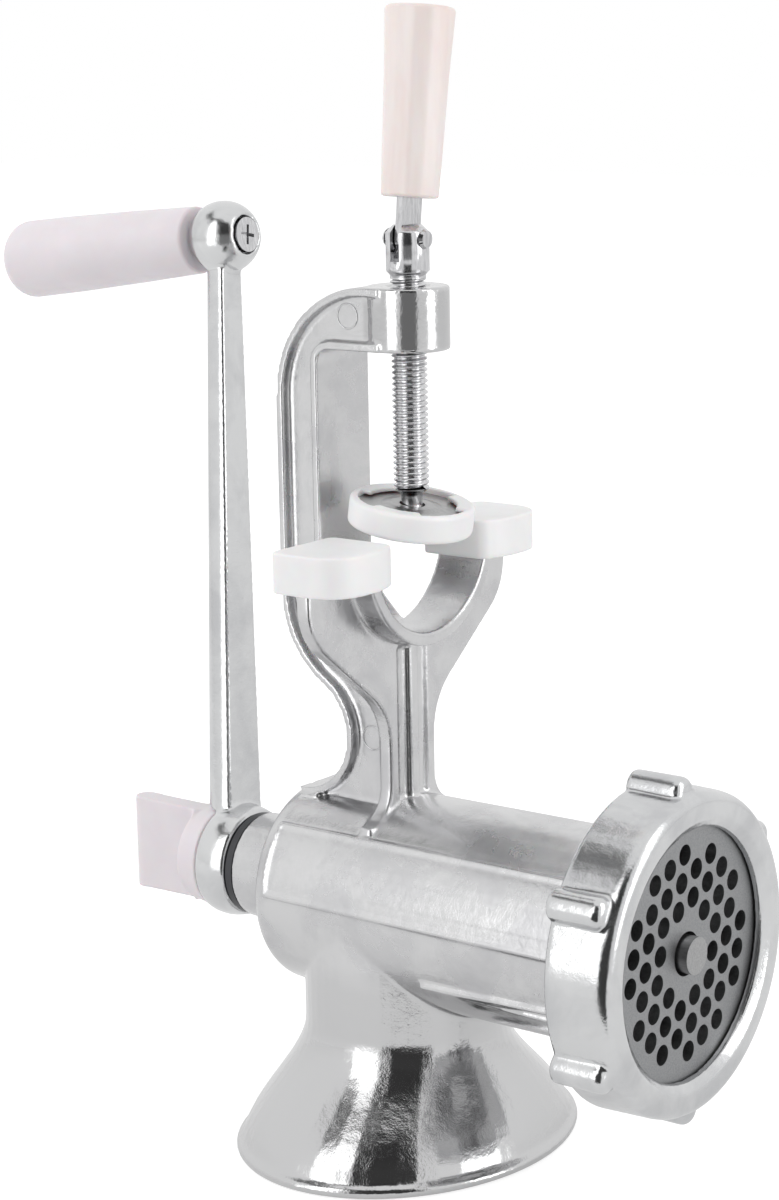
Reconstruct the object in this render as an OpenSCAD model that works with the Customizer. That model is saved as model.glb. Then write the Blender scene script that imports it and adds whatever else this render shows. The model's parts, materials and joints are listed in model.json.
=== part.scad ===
// Hand crank meat grinder with a clamp, standing upside down on its hopper mouth.
// X is the barrel axis towards the outlet, Z is up, and Y = 0 is the casting's middle plane.
// The origin is the centre of the hopper mouth, on the surface that the mouth stands on.

/* [Barrel] */
// Height of the barrel axis above the hopper mouth
axis_z = 57.3; // [52:0.1:64]
// Outer radius of the barrel
barrel_r = 23.8; // [22.6:0.1:25]
// Wall of the barrel
barrel_wall = 3.2; // [2.4:0.1:4]
// Where the barrel's rear end face lies on X
barrel_rear_x = -27.3; // [-29:0.1:-26]
// Radius of the rounding at the barrel's rear end
rear_round = 5; // [2:0.5:7]
// Where the barrel meets the threaded mouth on X
mouth_x = 62.8; // [58:0.1:68]
// Depth of the threaded mouth along X
mouth_depth = 12.9; // [12.6:0.1:18]
// Wall of the threaded mouth
mouth_wall = 1.9; // [1.5:0.1:2.5]
// Outer radius of the rear collar that carries the bush
collar_r = 12.4; // [11.5:0.1:14]
// Length of the rear collar
collar_len = 14.7; // [11:0.1:20]

/* [Hopper] */
// Half width of the oval mouth along X
hopper_rx = 35.9; // [32:0.1:40]
// Half width of the oval mouth along Y
hopper_ry = 43.3; // [38:0.1:48]
// Outer radius of the round neck
neck_r = 23.3; // [20:0.1:23.7]
// Height of the flare
flare_h = 29; // [26:0.5:32]
// Wall of the hopper
hopper_wall = 2.6; // [2:0.1:3.2]
// Radius of the rounded lip
lip_r = 1.2; // [0.5:0.1:1.2]

/* [Clamp frame] */
// Top of the bow
bow_top_z = 196.8; // [190:0.1:205]
// Rear face of the bow on X
bow_rear_x = -26.5; // [-30:0.1:-26]
// Front face of the bow on X, towards the screw
bow_front_x = -14.9; // [-18:0.1:-14]
// Height of the arm and boss at the top of the bow
boss_h = 14.1; // [12:0.1:16]
// Outer radius of the screw boss
boss_r = 9.1; // [8.5:0.1:10.5]
// Screw axis on X
screw_x = 4; // [2:0.1:6]
// Width of the bow's flanges along Y
flange_w = 19; // [16:0.5:22]
// Thickness of the bow's flanges
flange_t = 1.8; // [1.4:0.1:2.6]
// Thickness of the web between the flanges
web_t = 14; // [8:0.5:15]
// Outer radius of the bow's corner
corner_r = 25; // [14:0.5:28]
// Inner radius of the bow's corner
inner_corner_r = 3.2; // [1:0.1:5]
// Radius of the round waist behind the neck of the frame
waist_r = 13.5; // [12:0.1:14.5]
// Radius of the bow's lower bend
bend_r = 24; // [21:0.1:25]
// Radius of the bow's front below the clamp's throat
throat_curve_r = 19.6; // [18:0.1:21]

/* [Fork] */
// Height of the fork's centre
fork_z = 140; // [138:0.1:142]
// Inner radius of the fork
fork_r = 20; // [18:0.1:21]
// Radius of the round outer edge of each fork arm
arm_edge_r = 14; // [12:0.1:16]
// Reach of the fork's arms from the middle plane
fork_half_w = 36.2; // [34:0.1:37]
// Thickness of the fork's plate
fork_plate_t = 3.4; // [2.6:0.1:4.4]
// Front face of the fork's plate on X
fork_front_x = 3.3; // [2.6:0.1:4]
// Wall of the half tube inside the fork
fork_tube_wall = 3; // [2.4:0.1:3.6]
// Length of the half tube along X
fork_tube_len = 13; // [11:0.5:14]
// Radius of the hollow sides of the fork's neck
neck_side_r = 16; // [14:0.1:18]
// Slope of the arms' straight lower edges in degrees
flank_angle = 38; // [34:1:42]
// Half width of the fork's neck at its narrowest
neck_half_w = 8.3; // [7.4:0.1:9]
// Height of the fork's neck where it is narrowest
neck_z = 94; // [92:0.1:96]
// Radius of the fillet where the fork's neck stands on the barrel
foot_r = 8; // [6:0.5:9]
// Height of that fillet's centre
foot_z = 85; // [84:0.1:87]
// Length of each table pad along X
pad_len = 19.8; // [17:0.1:21]
// Width of each table pad along Y
pad_w = 22; // [19:0.5:23]
// Height of each table pad
pad_h = 9; // [8:0.1:10]
// Radius of each table pad's bulging front
pad_front_r = 22; // [18:1:30]
// Radius of each table pad's outer front corner
pad_corner_r = 8; // [5:0.5:9]

/* [Clamp screw] */
// Radius of the clamp screw
screw_r = 4; // [3.8:0.05:4.2]
// Height of the underside of the swivel pad at its middle
swivel_z = 142.9; // [142.6:0.1:147]
// Tilt of the swivel pad about Y in degrees
swivel_tilt = 9; // [0:0.5:10]
// Radius of the swivel pad
swivel_r = 14; // [13:0.1:14.5]
// Height of the swivel pad's wall
swivel_h = 6.4; // [6:0.1:7]
// Radius of the screw's slotted head
head_r = 4.8; // [4.6:0.1:5.4]
// Height of the slotted head
head_h = 10.6; // [9.5:0.1:12]
// Room between the boss and the slotted head
head_room = 2.6; // [2.5:0.1:3.5]
// Radius of the rivet that the folding handle turns on
rivet_r = 1.5; // [1.3:0.05:1.6]
// Length of the folding handle's grip
clamp_grip_len = 41; // [36:0.5:46]
// Radius of the folding handle's grip at its outer end
clamp_grip_r = 7.8; // [7:0.1:8.5]
// Lean of the folding handle in degrees
handle_lean = 7; // [0:0.5:8]

/* [Ring nut and plate] */
// Outer radius of the ring nut
ring_r = 36; // [35.8:0.1:38]
// Length of the ring nut along X
ring_len = 16.2; // [16:0.1:20]
// Radius of the ring nut's opening
ring_open_r = 27.8; // [26:0.1:29]
// Radius of each of the ring nut's lugs
lug_r = 3.6; // [3:0.1:4]
// Number of lugs on the ring nut
lug_count = 6; // [4:1:8]
// Length of each lug along X
lug_len = 13.6; // [12:0.1:14.5]
// Turn of the ring nut's lugs in degrees
lug_turn = 1.5; // [0:0.5:59]
// Radius of the hole plate
plate_r = 31; // [30.5:0.1:31.2]
// Thickness of the hole plate
plate_t = 4; // [3.4:0.1:4.2]
// Radius of each hole in the plate
hole_r = 2.3; // [1.8:0.05:2.5]
// Distance between neighbouring holes in the plate
hole_step = 6.14; // [5.8:0.02:6.3]
// Turn of the hole pattern in degrees
hole_turn = 48; // [0:1:59]

/* [Auger and knife] */
// Radius of the auger's rear journal
journal_r = 6.9; // [6.5:0.05:7.2]
// Side of the square that drives the crank
drive_side = 10.6; // [10:0.1:11]
// Gap between the flight and the barrel's bore
flight_gap = 0.5; // [0.4:0.05:0.9]
// Number of turns of the flight
flight_turns = 3; // [2:0.5:4]
// Thickness of the flight at its edge
flight_t = 3.4; // [2.6:0.1:4.5]
// Radius of the auger's core at its rear end
core_rear_r = 9; // [8:0.1:10]
// Radius of the auger's core at its front end
core_front_r = 13; // [12:0.1:14]
// Radius of the steel stud at the auger's front
stud_r = 4.15; // [4:0.05:4.4]
// Radius of the hole that the stud passes through in the plate
stud_hole_r = 4.9; // [4.7:0.1:5.4]
// How far the stud stands out of the plate
stud_out = 2.6; // [1.5:0.1:3.2]
// Side of the stud's square, which drives the knife
knife_square = 9.6; // [9:0.1:10.4]
// Reach of the knife's blades
knife_r = 27; // [25:0.1:28]
// Thickness of the knife's hub
knife_t = 4; // [3.4:0.1:4.2]

/* [Crank] */
// Length of the crank arm between its two axes
crank_len = 150; // [130:1:160]
// Lean of the arm away from the barrel in degrees
crank_lean = 9.3; // [4:0.1:11]
// Turn of the crank about the barrel axis in degrees
crank_turn = 11.7; // [0:0.1:20]
// Length of the crank's hub along X
hub_len = 9; // [8:0.1:11]
// Outer radius of the crank's hub
hub_r = 13.4; // [12.4:0.1:14]
// Outer radius of the hub's rear end
hub_rear_r = 12.5; // [12:0.1:12.8]
// Width of the arm at the hub
arm_root_w = 13.6; // [12:0.1:15]
// Thickness of the arm at the hub
arm_root_t = 6.5; // [5.5:0.1:7.5]
// Width of the arm at the ball
arm_tip_w = 7.8; // [7:0.1:9]
// Thickness of the arm at the ball
arm_tip_t = 4.6; // [4:0.1:5.4]
// Radius of the ball at the arm's outer end
ball_r = 8.8; // [8:0.1:10]
// Tilt of the crank's grip from square to the arm, in degrees
grip_tilt = 2.2; // [0:0.1:4]
// Length of the crank's grip
grip_len = 60; // [50:1:66]
// Radius of the crank's grip next to the arm
grip_inner_r = 8.2; // [7.4:0.1:9]
// Radius of the crank's grip at its outer end
grip_outer_r = 9.7; // [8.5:0.1:10.5]
// Radius of the screw that the grip turns on
grip_screw_r = 2.5; // [2:0.05:3]

/* [Thumb screw] */
// Radius of the thumb screw's steel stud
wing_stud_r = 3; // [2.6:0.05:3.4]
// Length of the thumb screw's wing and root along X
wing_len = 28.2; // [26:0.1:30]
// Height of the wing across the screw's axis
wing_h = 26.6; // [22:0.1:30]
// Thickness of the wing
wing_t = 5.6; // [4.6:0.1:7]
// Radius of the round root's rear end, where the wing stands on it
wing_root_r = 11.2; // [10.5:0.1:11.8]
// Length of the round root along X
wing_root_len = 6.6; // [6:0.1:8]

/* [Clearances] */
// Radial gap of a shaft that turns in a hole
run_gap = 0.06; // [0.04:0.01:0.09]
// Gap between faces of pieces that move past each other
face_gap = 0.25; // [0.2:0.05:0.3]
// Gap round a piece that is held fast
seat_gap = 0.05; // [0.02:0.01:0.08]

/* [Hidden] */

// Faces of round pieces and of the finer ones
$fn = 96;
fine_fn = 48;
hull_fn = 32;
cut = 1;

// Barrel
bore_r = barrel_r - barrel_wall;
rear_wall_t = 3.4;
inner_rear_x = barrel_rear_x + rear_wall_t;
mouth_front_x = mouth_x + mouth_depth;
seat_r = plate_r + 0.15;
mouth_r = seat_r + mouth_wall;
mouth_flare = 2.2;
seat_x = mouth_front_x - 9.1;
collar_rear_x = barrel_rear_x - collar_len;
bush_out_r = 8.7;
bush_flange_t = 1.8;
bush_flange_r = collar_r - 0.3;
throat_r = neck_r - hopper_wall - 1.2;

// Hopper
horn_sides = 48;
horn_rings = 12;
horn_top_z = axis_z - 6;

// Clamp frame
boss_z = bow_top_z - boss_h;
bend_z = fork_z - 13;
bend_x = bow_rear_x + bend_r;
waist_sum = bend_r + waist_r;
waist_z = axis_z + barrel_r + waist_r + 0.4;
waist_x = bend_x - sqrt(pow(waist_sum, 2) - pow(bend_z - waist_z, 2));
waist_angle = atan2(waist_z - bend_z, waist_x - bend_x);
arc_step = 6;

// Fork
fork_back_x = fork_front_x - fork_plate_t;
fork_tube_x = -3.2;
neck_side_y = neck_half_w + neck_side_r;
foot_y = neck_half_w + foot_r;
arm_y = fork_half_w - arm_edge_r;
flank_run = arm_y + arm_edge_r * sin(flank_angle) - neck_side_y + neck_side_r * sin(flank_angle);
arm_z = neck_z + (neck_side_r + arm_edge_r) * cos(flank_angle) + flank_run * tan(flank_angle);
rib_w = 3.4;
rib_out = 0.6;
groove_w = 3.6;
groove_depth = 0.8;
rib_top_z = fork_z - fork_r - fork_tube_wall + 0.6;
rib_foot_z = axis_z + barrel_r - 2;
pad_x = screw_x;
pad_y = fork_half_w + 2.3 - pad_w / 2;
pad_inner_corner_r = 3;
pad_rear_corner_r = 2.5;
pad_top_z = fork_z + 2.6;
pad_bottom_z = pad_top_z - pad_h;
tip_top_z = pad_top_z - 3;

// Clamp screw
head_z = bow_top_z + head_room;
head_top_z = head_z + head_h;
pivot_z = head_top_z - 3;
slot_w = 2.4;
tongue_t = 1.8;
tongue_w = 6.8;
tongue_in_grip = 18;
grip_start = 8.9;
disc_r = swivel_r - 1.9;
disc_t = 1.1;
cup_floor = 1.5;
disc_z = 4;
disc_mid_z = disc_z + disc_t / 2;
disc_hole_gap = 0.5;
pin_flange_r = 3.3;
pin_flange_z = 2.4;
pin_flange_t = 0.6;
head_cone_h = 0.3;
neck_pin_r = 2.4;
thread_end_z = swivel_z + 8.4;

// Ring nut, plate and knife
ring_front_x = mouth_x + ring_len;
lip_back_x = mouth_front_x + face_gap;
plate_front_x = lip_back_x - face_gap;
plate_back_x = plate_front_x - plate_t;
knife_front_x = plate_back_x - face_gap;
knife_back_x = knife_front_x - knife_t;
stud_front_x = plate_front_x + stud_out;
key_r = 1.6;
key_y = seat_r - 0.8;

// Auger
auger_front_x = knife_back_x - 0.3;
washer_t = 1.6;
shoulder_x = inner_rear_x + washer_t + 0.3;
shoulder_r = 17.4;
flight_r = bore_r - flight_gap;
flight_x0 = shoulder_x + 2;
flight_x1 = auger_front_x - flight_t / 2 - 0.5;
flight_sides = 30;
hub_front_x = collar_rear_x - bush_flange_t - 0.4;
hub_rear_x = hub_front_x - hub_len;
journal_x = hub_front_x - 0.4;
drive_rear_x = hub_rear_x + 0.6;
drive_len = journal_x - drive_rear_x;
stud_depth = 16;

// Crank
arm_root_z = 3;
ball_flat_x = ball_r - 1.4;
ball_face_cut = 1.8;
screw_seat_x = ball_r - 4;
grip_head_r = 4.2;
grip_head_h = 2.2;
grip_start_x = ball_flat_x + face_gap;
grip_hole_len = 42;
grip_end_r = 5;
hub_x = hub_front_x - 6;
hub_bulge_r = 11;
// Its centre behind the hub's front
hub_bulge_x = 5;
// Angles at which it starts and ends
hub_bulge_start = 68;
hub_bulge_end = 106;
// Angle at which the throat's curve runs into the fork
throat_curve_end = 235;
wing_x = hub_rear_x - face_gap;
wing_bulge_r = 34;
wing_fillet = 3;
wing_edge = 1.6;
stud_in_wing = 5.5;

// Moves and turns its children from +Z to the +X direction, on the barrel axis
module on_barrel_axis(x = 0) {
    translate([x, 0, axis_z])
        rotate([0, 90, 0])
            children();
}

// Points of an arc from angle a0 to a1, in about arc_step steps
function arc(cx, cy, r, a0, a1) =
    let (n = max(2, ceil(abs(a1 - a0) / arc_step)))
    [for (i = [0:n]) let (a = a0 + (a1 - a0) * i / n) [cx + r * cos(a), cy + r * sin(a)]];

// Smooth step from 0 to 1
function ease(t) = t * t * (3 - 2 * t);

// How far the flare has opened at height z: 0 at the neck and 1 at the mouth
function flare(z) = ease(min(1, max(0, 1 - z / flare_h)));

// A closed tube between two stacks of rings with the same number of points
module ring_shell(outer, inner) {
    n = len(outer[0]);
    m = len(outer);
    points = concat([for (r = outer) each r], [for (r = inner) each r]);
    walls = [
        for (k = [0:m - 2], i = [0:n - 1])
            let (a = k * n + i, b = k * n + (i + 1) % n)
            each [[a, a + n, b], [b, a + n, b + n]]
    ];
    inner_walls = [
        for (k = [0:m - 2], i = [0:n - 1])
            let (a = (m + k) * n + i, b = (m + k) * n + (i + 1) % n)
            each [[a, b, a + n], [b, b + n, a + n]]
    ];
    ends = [
        for (i = [0:n - 1])
            let (j = (i + 1) % n, t = (m - 1) * n, s = m * n)
            each [
                [i, j, s + i], [j, s + j, s + i],
                [t + i, s + t + i, t + j], [t + j, s + t + i, s + t + j]
            ]
    ];
    polyhedron(points, concat(walls, inner_walls, ends));
}

// One oval ring of the hopper at height z, inset from the outside by d
function horn_ring(z, d) =
    let (s = flare(z))
    [
        for (i = [0:horn_sides - 1])
            let (a = 360 * i / horn_sides)
            [
                (neck_r + (hopper_rx - neck_r) * s - d) * cos(a),
                (neck_r + (hopper_ry - neck_r) * s - d) * sin(a),
                z
            ]
    ];

// Heights of the hopper's rings: close together in the lip, wider up the neck
horn_z = concat(
    [0, 0.3 * lip_r, lip_r],
    [for (i = [1:horn_rings]) lip_r + (flare_h - lip_r) * i / horn_rings],
    [horn_top_z]
);

// How far the outside is rounded away at height z in the lip
function lip_inset(z) = z >= lip_r ? 0 : lip_r - sqrt(pow(lip_r, 2) - pow(lip_r - z, 2));

module hopper() {
    color("gainsboro")
    difference() {
        ring_shell(
            [for (z = horn_z) horn_ring(z, 0.6 * lip_inset(z))],
            [for (z = horn_z) horn_ring(z, hopper_wall - 0.4 * lip_inset(z))]
        );
        on_barrel_axis(barrel_rear_x - cut)
            cylinder(r = barrel_r, h = 2 * hopper_ry);
    }
}

// Half section of the barrel: [distance along the axis, radius]
barrel_outline = concat(
    [
        [collar_rear_x, bush_out_r],
        [collar_rear_x, collar_r - 0.4],
        [collar_rear_x + 0.4, collar_r]
    ],
    [[barrel_rear_x - 1.2, collar_r], [barrel_rear_x - 0.4, collar_r + 0.5]],
    arc(barrel_rear_x + rear_round, barrel_r - rear_round, rear_round, 180, 90),
    [
        [mouth_x - 0.6, barrel_r],
        [mouth_x - 0.6 + mouth_flare, mouth_r],
        [mouth_front_x - 0.5, mouth_r],
        [mouth_front_x, mouth_r - 0.5],
        [mouth_front_x, seat_r],
        [seat_x, seat_r],
        [seat_x - 1, bore_r],
        [inner_rear_x, bore_r],
        [inner_rear_x, bush_out_r]
    ]
);

module barrel() {
    color("silver")
    difference() {
        on_barrel_axis()
            rotate_extrude()
                polygon([for (p = barrel_outline) [p[1], p[0]]]);
        // throat from the hopper
        translate([0, 0, axis_z - barrel_r - cut])
            cylinder(r = throat_r, h = barrel_r);
        // seat of the key that stops the plate from turning
        translate([seat_x, key_y, axis_z])
            rotate([0, 90, 0])
                cylinder(r = key_r + seat_gap, h = mouth_depth, $fn = fine_fn);
    }
}

module plate_key() {
    color("dimgray")
    translate([seat_x, key_y, axis_z])
        rotate([0, 90, 0])
            cylinder(r = key_r, h = plate_front_x - seat_x, $fn = fine_fn);
}

module rear_bush() {
    color("#303236")
    difference() {
        union() {
            on_barrel_axis(collar_rear_x)
                cylinder(r = bush_out_r - seat_gap, h = inner_rear_x - collar_rear_x);
            on_barrel_axis(collar_rear_x - bush_flange_t)
                cylinder(r = bush_flange_r, h = bush_flange_t);
        }
        on_barrel_axis(collar_rear_x - bush_flange_t - cut)
            cylinder(r = journal_r + run_gap, h = collar_len + bush_flange_t + 10);
    }
}

// Outline of the bow and its foot in the XZ plane, with every edge moved in by d
function frame_rear(d) = concat(
    arc(waist_x, waist_z, waist_r + d, -92, waist_angle + 180),
    arc(bend_x, bend_z, bend_r - d, waist_angle, -180),
    arc(bow_rear_x + corner_r, bow_top_z - corner_r, corner_r - d, 180, 90)
);

module frame_outline(d) {
    polygon(concat(
        [[fork_back_x, axis_z + barrel_r - 3], [waist_x, axis_z + barrel_r - 3]],
        frame_rear(d),
        [[screw_x, bow_top_z - d], [screw_x, boss_z + d]],
        arc(
            bow_front_x + inner_corner_r, boss_z - inner_corner_r,
            inner_corner_r + d, 90, 180
        ),
        arc(
            bow_front_x + throat_curve_r, fork_z - 4,
            throat_curve_r + d, 180, throat_curve_end
        ),
        [[fork_back_x, fork_z - fork_r - fork_tube_wall + 1]]
    ));
}

// Extrudes a drawing of the XZ plane to a width along Y, centred on the middle plane
module across(w) {
    translate([0, w / 2, 0])
        rotate([90, 0, 0])
            linear_extrude(height = w)
                children();
}

// Extrudes a drawing of the YZ plane to a length along X
module along(x, length) {
    translate([x, 0, 0])
        rotate([90, 0, 90])
            linear_extrude(height = length)
                children();
}

module bow() {
    across(web_t)
        frame_outline(0);
    across(flange_w)
        intersection() {
            difference() {
                frame_outline(0);
                frame_outline(flange_t);
            }
            translate([bow_rear_x - cut, axis_z])
                square([bend_r + screw_x + 2 * cut, bow_top_z]);
        }
}

// One side of the fork: up from the barrel, along the neck and the flank, and round the arm to its tip
function fork_side() = concat(
    [[foot_y, axis_z]],
    arc(foot_y, foot_z, foot_r, 270, 180),
    arc(neck_side_y, neck_z, neck_side_r, 180, 90 + flank_angle),
    arc(arm_y, arm_z, arm_edge_r, flank_angle - 90, 0),
    [[fork_half_w, tip_top_z]]
);

module fork_plate() {
    right = fork_side();
    left = [for (i = [len(right) - 1:-1:0]) [-right[i][0], right[i][1]]];
    along(fork_back_x, fork_plate_t)
        difference() {
            polygon(concat(right, left));
            translate([0, fork_z])
                circle(r = fork_r);
        }
}

module fork_tube() {
    along(fork_tube_x, fork_tube_len)
        intersection() {
            difference() {
                translate([0, fork_z])
                    circle(r = fork_r + fork_tube_wall);
                translate([0, fork_z])
                    circle(r = fork_r);
            }
            translate([-fork_half_w, neck_z])
                square([2 * fork_half_w, tip_top_z - neck_z]);
        }
}

// Rib up the middle of the fork's neck
module fork_rib() {
    along(fork_back_x, fork_plate_t + rib_out)
        translate([-rib_w / 2, rib_foot_z])
            square([rib_w, rib_top_z - rib_foot_z]);
}

// Grooves on both sides of the rib
module fork_grooves() {
    for (side = [-1, 1])
        along(fork_front_x - groove_depth, groove_depth + rib_out)
            translate([side * (rib_w + groove_w) / 2 - groove_w / 2, axis_z])
                square([groove_w, rib_top_z - 1 - axis_z]);
}

module clamp_frame() {
    color("silver")
    difference() {
        union() {
            bow();
            difference() {
                fork_plate();
                fork_grooves();
            }
            fork_tube();
            fork_rib();
            translate([screw_x, 0, boss_z])
                cylinder(r = boss_r, h = boss_h);
        }
        translate([screw_x, 0, boss_z - cut])
            cylinder(r = screw_r + run_gap, h = boss_h + 2 * cut);
        on_barrel_axis(barrel_rear_x - 10)
            cylinder(r = barrel_r, h = 2 * hopper_ry);
    }
}

// Centre of a corner of radius r that runs into the table pad's bulging front at distance v
function pad_corner(v, r) = pad_len / 2 - pad_front_r + sqrt(pow(pad_front_r - r, 2) - v * v);

// Outline of a table pad seen from above, its outer side towards +Y
module pad_outline() {
    outer_v = pad_w / 2 - pad_corner_r;
    inner_v = pad_inner_corner_r - pad_w / 2;
    outer_u = pad_corner(outer_v, pad_corner_r);
    inner_u = pad_corner(inner_v, pad_inner_corner_r);
    front_x = pad_len / 2 - pad_front_r;
    outer_a = atan2(outer_v, outer_u - front_x);
    inner_a = atan2(inner_v, inner_u - front_x);
    rear = pad_rear_corner_r;
    polygon(concat(
        [[-pad_len / 2, -pad_w / 2 + 1]],
        arc(rear - pad_len / 2, pad_w / 2 - rear, rear, 180, 90),
        arc(outer_u, outer_v, pad_corner_r, 90, outer_a),
        arc(front_x, 0, pad_front_r, outer_a, inner_a),
        arc(inner_u, inner_v, pad_inner_corner_r, inner_a, -90),
        [[1 - pad_len / 2, -pad_w / 2]]
    ));
}

// Plastic cap on one tip of the fork: the table's edge lies on its flat top
module table_pad(side) {
    color("white")
    difference() {
        translate([pad_x, side * pad_y, pad_bottom_z])
            mirror([0, side < 0 ? 1 : 0, 0])
                linear_extrude(height = pad_h)
                    pad_outline();
        fork_tip_room(side);
    }
}

// Room in a table pad for the fork's tip
module fork_tip_room(side) {
    low = pad_bottom_z - cut;
    h = tip_top_z - low + seat_gap;
    y0 = sqrt(pow(fork_r, 2) - pow(fork_z - pad_bottom_z, 2)) - seat_gap;
    mirror([0, side < 0 ? 1 : 0, 0]) {
        translate([fork_back_x - seat_gap, y0, low])
            cube([fork_plate_t + 2 * seat_gap, fork_half_w + seat_gap - y0, h]);
        translate([fork_tube_x - seat_gap, y0, low])
            cube([fork_tube_len + 2 * seat_gap, fork_r + fork_tube_wall + seat_gap - y0, h]);
    }
}

module left_table_pad() {
    table_pad(-1);
}

module right_table_pad() {
    table_pad(1);
}

module ring_nut() {
    color("silver")
    union() {
        on_barrel_axis()
            rotate_extrude()
                polygon([for (p = concat(
                    [
                        [mouth_x, mouth_r + run_gap],
                        [mouth_x, ring_r - 1],
                        [mouth_x + 1, ring_r]
                    ],
                    [[ring_front_x - 3.2, ring_r - 0.3]],
                    arc(ring_front_x - 2.6, ring_r - 3, 2.6, 80, 0),
                    [
                        [ring_front_x, ring_open_r + 2.2],
                        [ring_front_x - 1.4, ring_open_r],
                        [lip_back_x, ring_open_r],
                        [lip_back_x, mouth_r + run_gap]
                    ]
                )) [p[1], p[0]]]);
        for (i = [0:lug_count - 1])
            lug(360 / lug_count * i + lug_turn);
    }
}

// One half-round lug along the ring nut, rounded off at the front
module lug(angle) {
    on_barrel_axis(mouth_x)
        rotate([0, 0, angle])
            translate([ring_r - 0.4, 0, 0])
                difference() {
                    rotate_extrude($fn = fine_fn)
                        polygon(concat(
                            [[0, 0], [lug_r - 0.6, 0], [lug_r, 0.6]],
                            arc(lug_r - 2, lug_len - 2, 2, 0, 90),
                            [[0, lug_len]]
                        ));
                    translate([-2 * lug_r - 1.8, -lug_r - cut, -cut])
                        cube([2 * lug_r, 2 * lug_r + 2 * cut, lug_len + 2 * cut]);
                }
}

// Centres of the plate's holes: a hexagon of four rings without its corners and its middle
hole_cells = [
    for (i = [-4:4], j = [-4:4])
        let (k = i + j, far = max(abs(i), abs(j), abs(k)))
        let (corner = far == 4 && (i == 0 || j == 0 || k == 0))
        if (far <= 4 && far >= 2 && !corner) [i, j]
];

module hole_plate() {
    color("gray")
    difference() {
        on_barrel_axis(plate_back_x)
            cylinder(r = plate_r, h = plate_t);
        for (c = hole_cells)
            on_barrel_axis(plate_back_x - cut)
                rotate([0, 0, hole_turn])
                    translate([(c[0] + c[1] / 2) * hole_step, c[1] * sqrt(3) / 2 * hole_step, 0])
                        cylinder(r = hole_r, h = plate_t + 2 * cut, $fn = fine_fn / 2);
        on_barrel_axis(plate_back_x - cut)
            cylinder(r = stud_hole_r, h = plate_t + 2 * cut);
        translate([plate_back_x - cut, key_y, axis_z])
            rotate([0, 90, 0])
                cylinder(r = key_r + face_gap, h = plate_t + 2 * cut, $fn = fine_fn);
    }
}

// One section of the flight at turn angle a: root and edge, rear and front
function flight_section(a) =
    let (
        t = a / (360 * flight_turns),
        x = flight_x0 + flight_t + (flight_x1 - flight_x0 - flight_t) * t,
        root = core_rear_r - 1,
        rise = min(1, t * flight_turns * 6 + 0.25),
        edge = root + (flight_r - root) * min(1, rise),
        half = flight_t / 2
    )
    [
        [x - half - 1.2, root], [x - half * 0.7, edge],
        [x + half * 0.5, edge], [x + half + 0.4, root]
    ];

// The auger's flight, swept as a helix of four-cornered sections
module flight() {
    n = ceil(flight_sides * flight_turns);
    sections = [
        for (k = [0:n])
            let (a = 360 * flight_turns * k / n)
            [for (p = flight_section(a)) [p[0], -p[1] * sin(a), p[1] * cos(a)]]
    ];
    points = [for (s = sections) each s];
    sides = [
        for (k = [0:n - 1], i = [0:3])
            let (a = 4 * k + i, b = 4 * k + (i + 1) % 4)
            each [[a, b, a + 4], [b, b + 4, a + 4]]
    ];
    ends = [[0, 2, 1], [0, 3, 2], [4 * n, 4 * n + 1, 4 * n + 2], [4 * n, 4 * n + 2, 4 * n + 3]];
    translate([0, 0, axis_z])
        polyhedron(points, concat(sides, ends));
}

module auger() {
    color("darkgray")
    difference() {
        union() {
            on_barrel_axis()
                rotate_extrude()
                    polygon([for (p = [
                        [journal_x, 0], [journal_x, journal_r],
                        [shoulder_x, journal_r], [shoulder_x, shoulder_r - 0.5],
                        [shoulder_x + 0.5, shoulder_r], [shoulder_x + 2, shoulder_r],
                        [shoulder_x + 5, core_rear_r], [auger_front_x - 4, core_front_r],
                        [auger_front_x, core_front_r - 2], [auger_front_x, 0]
                    ]) [p[1], p[0]]]);
            flight();
            intersection() {
                on_barrel_axis(drive_rear_x)
                    cylinder(r = journal_r, h = drive_len + cut);
                translate([drive_rear_x - cut, -drive_side / 2, axis_z - drive_side / 2])
                    cube([drive_len + 3, drive_side, drive_side]);
            }
        }
        on_barrel_axis(auger_front_x - 12)
            cylinder(r = stud_r, h = 12 + cut, $fn = fine_fn);
        on_barrel_axis(drive_rear_x - cut)
            cylinder(r = wing_stud_r + run_gap, h = stud_depth + cut, $fn = fine_fn);
    }
}

module auger_stud() {
    color("lightgray")
    union() {
        on_barrel_axis(auger_front_x - 12)
            cylinder(r = stud_r, h = stud_front_x - auger_front_x + 12, $fn = fine_fn);
        translate([auger_front_x, -knife_square / 2, axis_z - knife_square / 2])
            cube([knife_front_x - auger_front_x - 0.3, knife_square, knife_square]);
    }
}

module thrust_washer() {
    color("ivory")
    difference() {
        on_barrel_axis(inner_rear_x + 0.1)
            cylinder(r = shoulder_r - 1, h = washer_t);
        on_barrel_axis(inner_rear_x - cut)
            cylinder(r = journal_r + run_gap, h = washer_t + 2 * cut);
    }
}

// One blade of the knife, wide at the hub, with a sloped back behind its cutting edge
module knife_blade() {
    difference() {
        linear_extrude(height = knife_t)
            polygon(concat(
                [[0, -4.4], [8, -4.6]],
                arc(knife_r - 10, 12.2, 17, -84, -46),
                arc(knife_r - 7, 6.5, 9, 20, 80),
                [[9, 6], [0, 6]]
            ));
        translate([7, 1.2, -cut])
            rotate([-34, 0, 0])
                translate([0, 0, -12])
                    cube([knife_r, 14, 12]);
    }
}

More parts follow.
